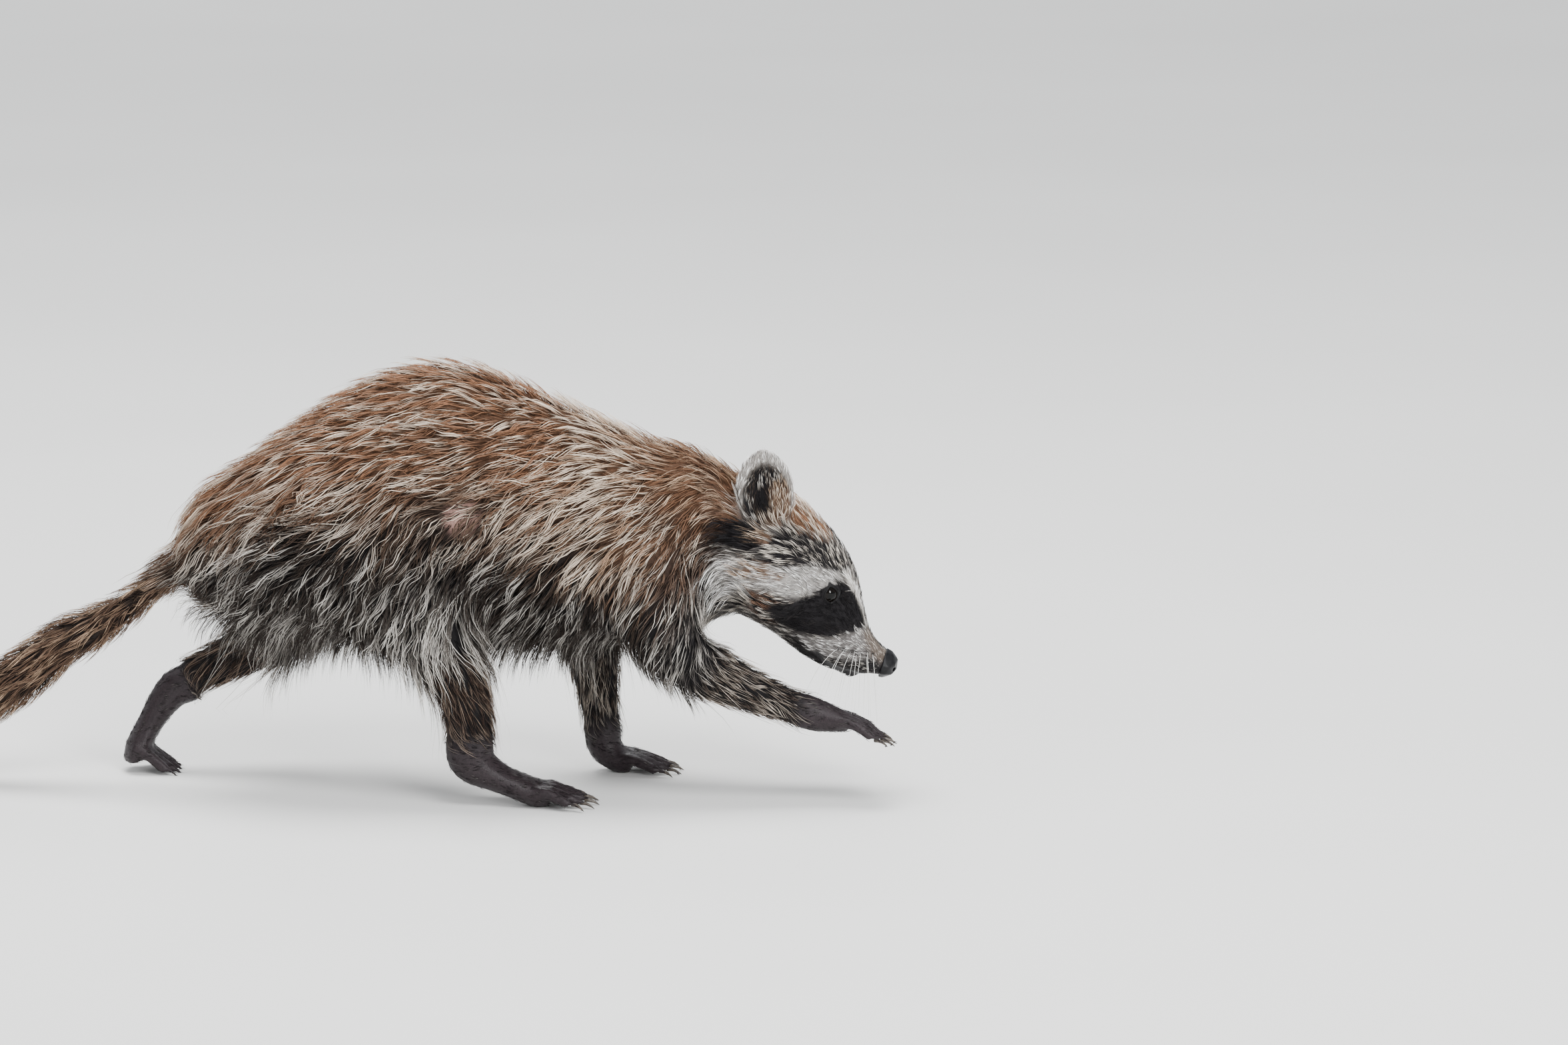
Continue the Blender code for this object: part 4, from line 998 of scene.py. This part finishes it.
def tuft_mesh(name, tufts, rings, coat, rng):
    """Tapered three-sided solids along the lines, closed at root and tip."""
    lines, count = tufts["lines"], len(tufts["lines"])
    shares = np.linspace(0, 1, rings + 1)
    breadth = tufts["width"][:, None] * np.interp(shares, WIDTH_STATIONS, WIDTH_SHARES)
    half = tufts["across"] * (breadth / 2)[..., None]
    ridge = tufts["normals"] * (breadth * RIDGE)[..., None]
    body = np.stack((lines + half, lines - half, lines + ridge), axis=2)[:, :rings]
    places = np.concatenate((body.reshape(count, 3 * rings, 3), lines[:, rings:]), axis=1)
    places[..., 2] = np.maximum(places[..., 2], FLOOR_GAP)

    one = [(0, 2, 1)]
    for ring in range(rings - 1):
        for side in range(3):
            a, b = 3 * ring + side, 3 * ring + (side + 1) % 3
            one += [(a, b, b + 3), (a, b + 3, a + 3)]
    last = 3 * (rings - 1)
    one += [(last + side, last + (side + 1) % 3, 3 * rings) for side in range(3)]
    triangles = (np.arange(count) * places.shape[1])[:, None, None] + np.array(one)
    mesh = mesh_of(name, places, triangles)

    ring_of = np.append(np.repeat(np.arange(rings), 3), rings)
    corner_of = np.append(np.tile(np.arange(3), rings), 1)
    share = shares[ring_of][:, None]
    brightness = np.clip(rng.normal(1.0, BRIGHTNESS_SPREAD, count), *BRIGHTNESS_LIMITS)[:, None, None]
    looks = tufts["looks"]
    under, tips = looks[:, None, :3], mixed(looks[:, 3:6], looks[:, 6:9], tufts["pale"])[:, None]
    # painted shade: each tuft darkens towards its root, deep in the coat
    root_shade = HEAD_ROOT_SHADE if coat == "coat_head" else ROOT_SHADE
    shade = root_shade + (1 - root_shade) * ramp(share, 0.0, ROOT_SHADE_END)
    colours = (under + (tips - under) * ramp(share, *TIP_COLOUR_FROM)) * shade * brightness
    add_colours(mesh, np.minimum(colours, 1.0))

    at = chart(tufts["place"], coat) * (1 - TUFT_PATCH)
    patch = np.stack((corner_of / 2, ring_of / rings), axis=1) * TUFT_PATCH
    coords = (at[:, None] + patch).reshape(-1, 2)
    uv = mesh.uv_layers.new(name="OFBake")
    uv.data.foreach_set("uv", coords[triangles.ravel()].astype(np.float32).ravel())
    return mesh


def grow_coat(skin, material):
    tree = tree_of(skin.places)
    for coat, row in COATS.items():
        layer = dict(zip(LAYER_COLUMNS, row))
        rng = np.random.default_rng(layer["seed"])
        weight = layer["density"] * sum(skin[region] for region in layer["on"])
        weight = weight * (1 - skin["lid"]) * fade(skin["lips"], *LIPS_BARE)
        weight = weight * skin[layer["where"]] if layer["where"] else weight
        tufts = roots_on(skin, weight, rng)
        tufts["length"] *= layer["length"]
        add_paths(skin, tree, tufts, layer, rng)
        triangles = len(tufts["place"]) * (6 * (layer["rings"] - 1) + 4)
        pieces = math.ceil(triangles / PIECE_TRIANGLES)
        for piece in range(pieces):
            name = f"{coat}_{piece + 1}"
            own = {key: value[piece::pieces] for key, value in tufts.items()}
            object_of(name, tuft_mesh(name, own, layer["rings"], coat, rng), material)


# ---- eyes, nose, claws and whiskers

CORNEA_REACH, CORNEA_RISE = math.radians(40), 0.45 * MM
NOSE_VOXEL, NOSE_GROWTH, NOSE_SOFTENING = 0.40 * MM, 0.6 * MM, 28
NOSTRIL_AT, NOSTRIL_SIZE, NOSTRIL_DEPTH = (2.6, 4.4, -3.6), (1.5, 1.2, 2.3), 1.4
NOSE_GROOVE, NOSE_GROOVE_BREADTH, NOSE_GROOVE_BELOW, NOSE_GROOVE_ENDS = 0.35, 0.45, (-6.0, -2.0), (3, 6)
DIGITS, DIGIT_SPACING = 5, 4.0 * MM
PALM_BEHIND, DIGIT_SLOPE = np.array((0.034, 0, -0.004)), (1, 1, 0.45)
CLAW_LENGTH, CLAW_RADIUS = 9.0 * MM, 1.15 * MM
CLAW_BACK, CLAW_UP = 0.9, 0.30  # where a claw starts, in its lengths behind and above its digit's tip
CLAW_SHARES = np.array((0.0, 0.3, 0.6, 0.85, 1.0))
CLAW_DROPS = np.array((0.02, 0.0, 0.07, 0.20, 0.32))
CLAW_THICKNESS = np.array((1.0, 0.95, 0.72, 0.40, 0.10))
CLAW_CLEAR = 0.2 * MM  # above the floor
WHISKER_SEED, WHISKER_POINTS = 21, 8
WHISKER_LENGTHS = (28.0, 50.0)
WHISKER_FAN, WHISKER_MIDDLE = 0.050, 20.0  # how much more each hair sweeps back, the further back it grows
WHISKER_STRAY, WHISKER_FALL, WHISKER_BEND = 0.12, 0.75, 0.38
WHISKER_RADIUS, WHISKER_TAPER, WHISKER_SINK = 0.14, 0.75, 0.3
BESIDE_HEAD = 40  # from here, rays look for the whiskers' roots


def tube_mesh(name, lines, radii, sides):
    """Tapered round solids along lines that all have the same number of points."""
    count, points = lines.shape[:2]
    along = unit(np.gradient(lines, axis=1))
    square = unit(np.cross(along, np.where(np.abs(along[..., 2:]) > 0.9, (1.0, 0, 0), (0, 0, 1.0))))
    third = np.cross(along, square)
    angles = (np.arange(sides) / sides * TAU)[:, None]
    ring = square[:, :, None] * np.cos(angles) + third[:, :, None] * np.sin(angles)
    places = lines[:, :, None] + ring * radii[..., None, None]
    last = (points - 1) * sides
    one = [(0, side, side + 1) for side in range(1, sides - 1)]
    one += [(last, last + side + 1, last + side) for side in range(1, sides - 1)]
    for row in range(0, last, sides):
        for side in range(sides):
            a, b = row + side, row + (side + 1) % sides
            one += [(a, a + sides, b + sides), (a, b + sides, b)]
    return mesh_of(name, places, (np.arange(count) * points * sides)[:, None, None] + np.array(one))


def make_eye(side, material):
    """An eyeball with a raised cornea; the shader reads how far a point is from the gaze."""
    centre, gaze, _, _ = eye_frame(side)
    bm = bmesh.new()
    bmesh.ops.create_icosphere(bm, subdivisions=5, radius=1.0)
    mesh = mesh_from(bm, f"eyeball_{SIDES[side]}")
    directions = unit(np.array([vert.co for vert in mesh.vertices]))
    angle = np.arccos(np.clip(directions @ gaze, -1, 1))
    raised = CORNEA_RISE * np.cos(np.clip(angle / CORNEA_REACH, 0, 1) * math.pi / 2) ** 2
    set_places(mesh, centre + directions * (EYE_RADIUS * MM + raised)[:, None])
    add_values(mesh, "gaze_angle", angle)
    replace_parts(object_of(mesh.name, mesh, material), f"eye_{SIDES[side]}")


def make_nose(material):
    """The bare pad, made finer, with deep comma-shaped nostrils and a groove down its middle."""
    bm = bmesh.new()
    bm.from_mesh(shell_of("nose", NOSE_GROWTH))
    mesh = remeshed(bm, "nose_pad", NOSE_VOXEL, NOSE_SOFTENING)
    pad = Skin(mesh)
    rows = in_head(pad.places) / MM
    s, y, h = rows.T
    inwards = NOSE_GROOVE * bell(y, NOSE_GROOVE_BREADTH) * fade(h, *NOSE_GROOVE_BELOW) * fade(s, *NOSE_GROOVE_ENDS)
    for side in SIDES:
        off = (rows - np.array(NOSTRIL_AT) * (1, side, 1)) / NOSTRIL_SIZE
        inwards += NOSTRIL_DEPTH * np.exp(-np.sum(off**2, axis=1))
    set_places(mesh, pad.places - pad.normals() * (inwards * MM)[:, None])
    mesh.update()
    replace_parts(object_of("nose_pad", mesh, material), "nose")


def claw_tips(node):
    """The foremost point of each digit of a paw and the way that digit points."""
    places = np.array([vert.co for vert in frame["nodes"][node].data.vertices])
    tips = []
    for place in places[np.argsort(-places[:, 0])]:
        if len(tips) < DIGITS and all(abs(place[1] - tip[1]) > DIGIT_SPACING for tip in tips):
            tips.append(place)
    palm = np.mean(tips, axis=0) - PALM_BEHIND
    return zip(tips, unit((tips - palm) * DIGIT_SLOPE))


def make_claws(material):
    lines = []
    for node in frame["nodes"]:
        for tip, heading in claw_tips(node) if region_name(node) == "paw" else ():
            start = tip + CLAW_LENGTH * (-CLAW_BACK * heading - CLAW_UP * DOWN)
            lines.append(start + CLAW_LENGTH * (np.outer(CLAW_SHARES, heading) + np.outer(CLAW_DROPS, DOWN)))
    lines, radii = np.array(lines), np.tile(CLAW_RADIUS * CLAW_THICKNESS, (len(lines), 1))
    lines[..., 2] = np.maximum(lines[..., 2], radii + CLAW_CLEAR)
    object_of("claws", tube_mesh("claws", lines, radii, 10), material)


def make_whiskers(skin, material):
    """Long white hairs that spring from rows on the whisker pads and hang."""
    rng = np.random.default_rng(WHISKER_SEED)
    tree = BVHTree.FromPolygons([tuple(p) for p in skin.places], skin.triangles.tolist())
    shares = np.linspace(0, 1, WHISKER_POINTS)
    lines = []
    for side in SIDES:
        for s, h in whisker_places():
            outside = from_head(np.array((s, side * BESIDE_HEAD, h)) * MM)
            root, normal, _, _ = tree.ray_cast(Vector(outside), Vector(-side * HEAD_LEFT))
            if root is None:
                continue
            root = np.array(root) - np.array(normal) * WHISKER_SINK * MM
            length = rng.uniform(*WHISKER_LENGTHS) * MM
            sweep = WHISKER_FAN * (s - WHISKER_MIDDLE) + rng.uniform(-WHISKER_STRAY, WHISKER_STRAY)
            out = unit(side * HEAD_LEFT + HEAD_BACK * sweep + DOWN * WHISKER_FALL)
            bend = (DOWN - side * HEAD_LEFT) * WHISKER_BEND
            lines.append(root + length * (np.outer(shares, out) + np.outer(shares**2, bend)))
    radii = np.tile(WHISKER_RADIUS * MM * (1 - WHISKER_TAPER * shares), (len(lines), 1))
    object_of("whiskers", tube_mesh("whiskers", np.array(lines), radii, 5), material)


# ---- materials


def shader_of(name, roughness, specular):
    material = bpy.data.materials.new(name)
    material.use_nodes = True
    shader = material.node_tree.nodes["Principled BSDF"]
    shader.inputs["Roughness"].default_value = roughness
    shader.inputs["Specular IOR Level"].default_value = specular
    return material, material.node_tree, shader


def node_of(tree, kind, inputs=(), **settings):
    node = tree.nodes.new("ShaderNode" + kind)
    for key, value in settings.items():
        setattr(node, key, value)
    for key, value in dict(inputs).items():
        if isinstance(value, bpy.types.NodeSocket):
            tree.links.new(value, node.inputs[key])
        else:
            node.inputs[key].default_value = value
    return node


def attribute(tree, name, output="Fac"):
    return node_of(tree, "Attribute", attribute_name=name).outputs[output]


def noise(tree, size, detail=4.0):
    """Noise with features of that size, in metres, in the object's own space."""
    at = node_of(tree, "TexCoord").outputs["Object"]
    inputs = {"Vector": at, "Scale": 1 / size, "Detail": detail, "Roughness": 0.6}
    return node_of(tree, "TexNoise", inputs).outputs["Fac"]


def cell_edges(tree, size):
    """The distance to the edges of cells of that size."""
    inputs = {"Vector": node_of(tree, "TexCoord").outputs["Object"], "Scale": 1 / size}
    return node_of(tree, "TexVoronoi", inputs, feature="DISTANCE_TO_EDGE").outputs["Distance"]


def ramped(tree, value, stops):
    node = node_of(tree, "ValToRGB", {"Fac": value})
    elements = node.color_ramp.elements
    for element, (place, colour) in zip(elements, (stops[0], stops[-1])):
        element.position, element.color = place, (*colour, 1)
    for place, colour in stops[1:-1]:
        elements.new(place).color = (*colour, 1)
    return node.outputs["Color"]


def grained(tree, shader, colour, size, low, high):
    """Gives the shader a colour made darker or lighter between low and high by noise of that size."""
    inputs = {"Value": noise(tree, size), "From Min": 0.3, "From Max": 0.7, "To Min": low, "To Max": high}
    spread = node_of(tree, "MapRange", inputs).outputs["Result"]
    shade = node_of(tree, "VectorMath", {0: colour, "Scale": spread}, operation="SCALE")
    tree.links.new(shade.outputs["Vector"], shader.inputs["Base Color"])


def mottled(name, roughness, specular, size, stops, detail=4.0):
    """A material whose colour wanders between its stops with noise of that size."""
    material, tree, shader = shader_of(name, roughness, specular)
    tree.links.new(ramped(tree, noise(tree, size, detail), stops), shader.inputs["Base Color"])
    return material, tree, shader


def bumped(tree, shader, height, distance, strength=1.0):
    bump = node_of(tree, "Bump", {"Height": height, "Distance": distance, "Strength": strength})
    tree.links.new(bump.outputs["Normal"], shader.inputs["Normal"])


def coat_material():
    material, tree, shader = shader_of("coat_hair", 0.55, 0.13)
    grained(tree, shader, attribute(tree, "coat_colour", "Color"), 1.1 * MM, 0.82, 1.18)
    return material


def skin_material():
    """Close under-fur over most of the body, bare wrinkled hide on paws, lids and lips."""
    material, tree, shader = shader_of("skin_and_underfur", 0.75, 0.2)
    grained(tree, shader, attribute(tree, "coat_colour", "Color"), 1.6 * MM, 0.7, 1.3)
    bare = attribute(tree, "bare")
    gloss = node_of(tree, "MapRange", {"Value": bare, "To Min": 0.85, "To Max": 0.44})
    tree.links.new(gloss.outputs["Result"], shader.inputs["Roughness"])
    fuzz, wrinkles = noise(tree, 0.5 * MM, 2.0), cell_edges(tree, 1.3 * MM)
    height = node_of(tree, "Mix", {"Factor": bare, 2: fuzz, 3: wrinkles}, data_type="FLOAT")
    bumped(tree, shader, height.outputs["Result"], 0.25 * MM, 0.8)
    return material


def eye_material():
    material, tree, shader = shader_of("eye", 0.05, 0.17)
    stops = (
        (0.0, (0.001, 0.001, 0.001)),
        (0.30, (0.001, 0.001, 0.001)),
        (0.36, (0.0032, 0.0018, 0.0012)),
        (0.62, (0.0022, 0.0014, 0.0010)),
        (0.70, (0.0015, 0.0012, 0.0012)),
        (0.95, (0.012, 0.009, 0.008)),
    )
    grained(tree, shader, ramped(tree, attribute(tree, "gaze_angle"), stops), 0.5 * MM, 0.7, 1.3)
    return material


def nose_material():
    stops = ((0.3, (0.003, 0.003, 0.0035)), (0.7, (0.009, 0.009, 0.0105)))
    material, tree, shader = mottled("nose_leather", 0.33, 0.20, 2.5 * MM, stops)
    bumped(tree, shader, cell_edges(tree, 0.55 * MM), 0.10 * MM, 0.7)
    return material


def claw_material():
    stops = ((0.35, (0.030, 0.024, 0.020)), (0.7, (0.10, 0.080, 0.062)))
    material, tree, shader = mottled("claw_horn", 0.38, 0.5, 1.5 * MM, stops)
    bumped(tree, shader, noise(tree, 0.4 * MM, 2.0), 0.05 * MM)
    return material


def whisker_material():
    stops = ((0.3, (0.70, 0.68, 0.64)), (0.7, (0.90, 0.89, 0.86)))
    return mottled("whisker_hair", 0.35, 0.6, 3 * MM, stops)[0]


# ---- studio

FLOOR_HALF, FLOOR_CELLS = 12.0, 24
CAMERA_AIM = (0.2346, 0.0, 0.162)
CAMERA_DISTANCE, CAMERA_ELEVATION = 5.23, math.radians(10)
CAMERA_LENS, SENSOR_WIDTH, VIEW_END = 200.0, 36.0, 60.0
LIGHTS = {  # place, size, watts
    "key": ((0.9, -1.9, 2.5), 1.3, 72.0),
    "top": ((-0.2, 0.5, 2.6), 1.6, 88.0),
    "fill": ((-2.2, -2.0, 1.0), 1.8, 12.0),
    "catch": ((1.5, -2.7, 0.88), 1.0, 62.0),  # shows as the glint in the eye
    "rear": ((-0.6, 6.5, 3.4), 3.0, 120.0),
}
LIGHTS_AIM = (0.05, 0.0, 0.12)
WORLD_COLOUR, WORLD_STRENGTH = (0.90, 0.92, 0.95), 0.86


def make_floor():
    bm = bmesh.new()
    bmesh.ops.create_grid(bm, x_segments=FLOOR_CELLS, y_segments=FLOOR_CELLS, size=FLOOR_HALF)
    mesh = mesh_from(bm, "studio_floor")
    stops = ((0.3, (0.80, 0.80, 0.785)), (0.7, (0.84, 0.84, 0.825)))
    mesh.materials.append(mottled("studio_paper", 0.9, 0.2, 0.6, stops, 2.0)[0])
    placed("studio_floor", mesh)


def make_light(name, place, size, watts):
    light = bpy.data.lights.new(name, "AREA")
    light.shape, light.size, light.energy = "DISK", size, watts
    obj = placed(name, light)
    obj.location = place
    obj.rotation_euler = (Vector(LIGHTS_AIM) - Vector(place)).to_track_quat("-Z", "Y").to_euler()
    obj.visible_camera = False


def make_world():
    world = bpy.data.worlds.new("studio")
    world.use_nodes = True
    background = world.node_tree.nodes["Background"]
    background.inputs["Color"].default_value = (*WORLD_COLOUR, 1)
    background.inputs["Strength"].default_value = WORLD_STRENGTH
    bpy.context.scene.world = world


def make_camera():
    data = bpy.data.cameras.new("camera")
    data.lens, data.sensor_width, data.clip_end = CAMERA_LENS, SENSOR_WIDTH, VIEW_END
    camera = placed("camera", data)
    back = Vector((0.0, -math.cos(CAMERA_ELEVATION), math.sin(CAMERA_ELEVATION)))
    camera.location = Vector(CAMERA_AIM) + back * CAMERA_DISTANCE
    camera.rotation_euler = (math.pi / 2 - CAMERA_ELEVATION, 0.0, 0.0)
    bpy.context.scene.camera = camera


# ---- the whole


def main():
    mesh, skin = make_skin()
    set_lie(skin)
    paint(skin)
    skin["normal"] = skin.normals()
    grow_coat(skin, coat_material())

    set_places(mesh, skin.places)
    mesh.update()
    add_colours(mesh, skin["hide"])
    add_values(mesh, "bare", skin["bare"])
    hide = object_of("skin", mesh, skin_material())
    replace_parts(hide, *(node for node in frame["nodes"] if node not in APART))

    eyes = eye_material()
    for side in SIDES:
        make_eye(side, eyes)
    make_nose(nose_material())
    make_claws(claw_material())
    make_whiskers(skin, whisker_material())
    make_floor()
    for name, settings in LIGHTS.items():
        make_light(name, *settings)
    make_world()
    make_camera()


main()
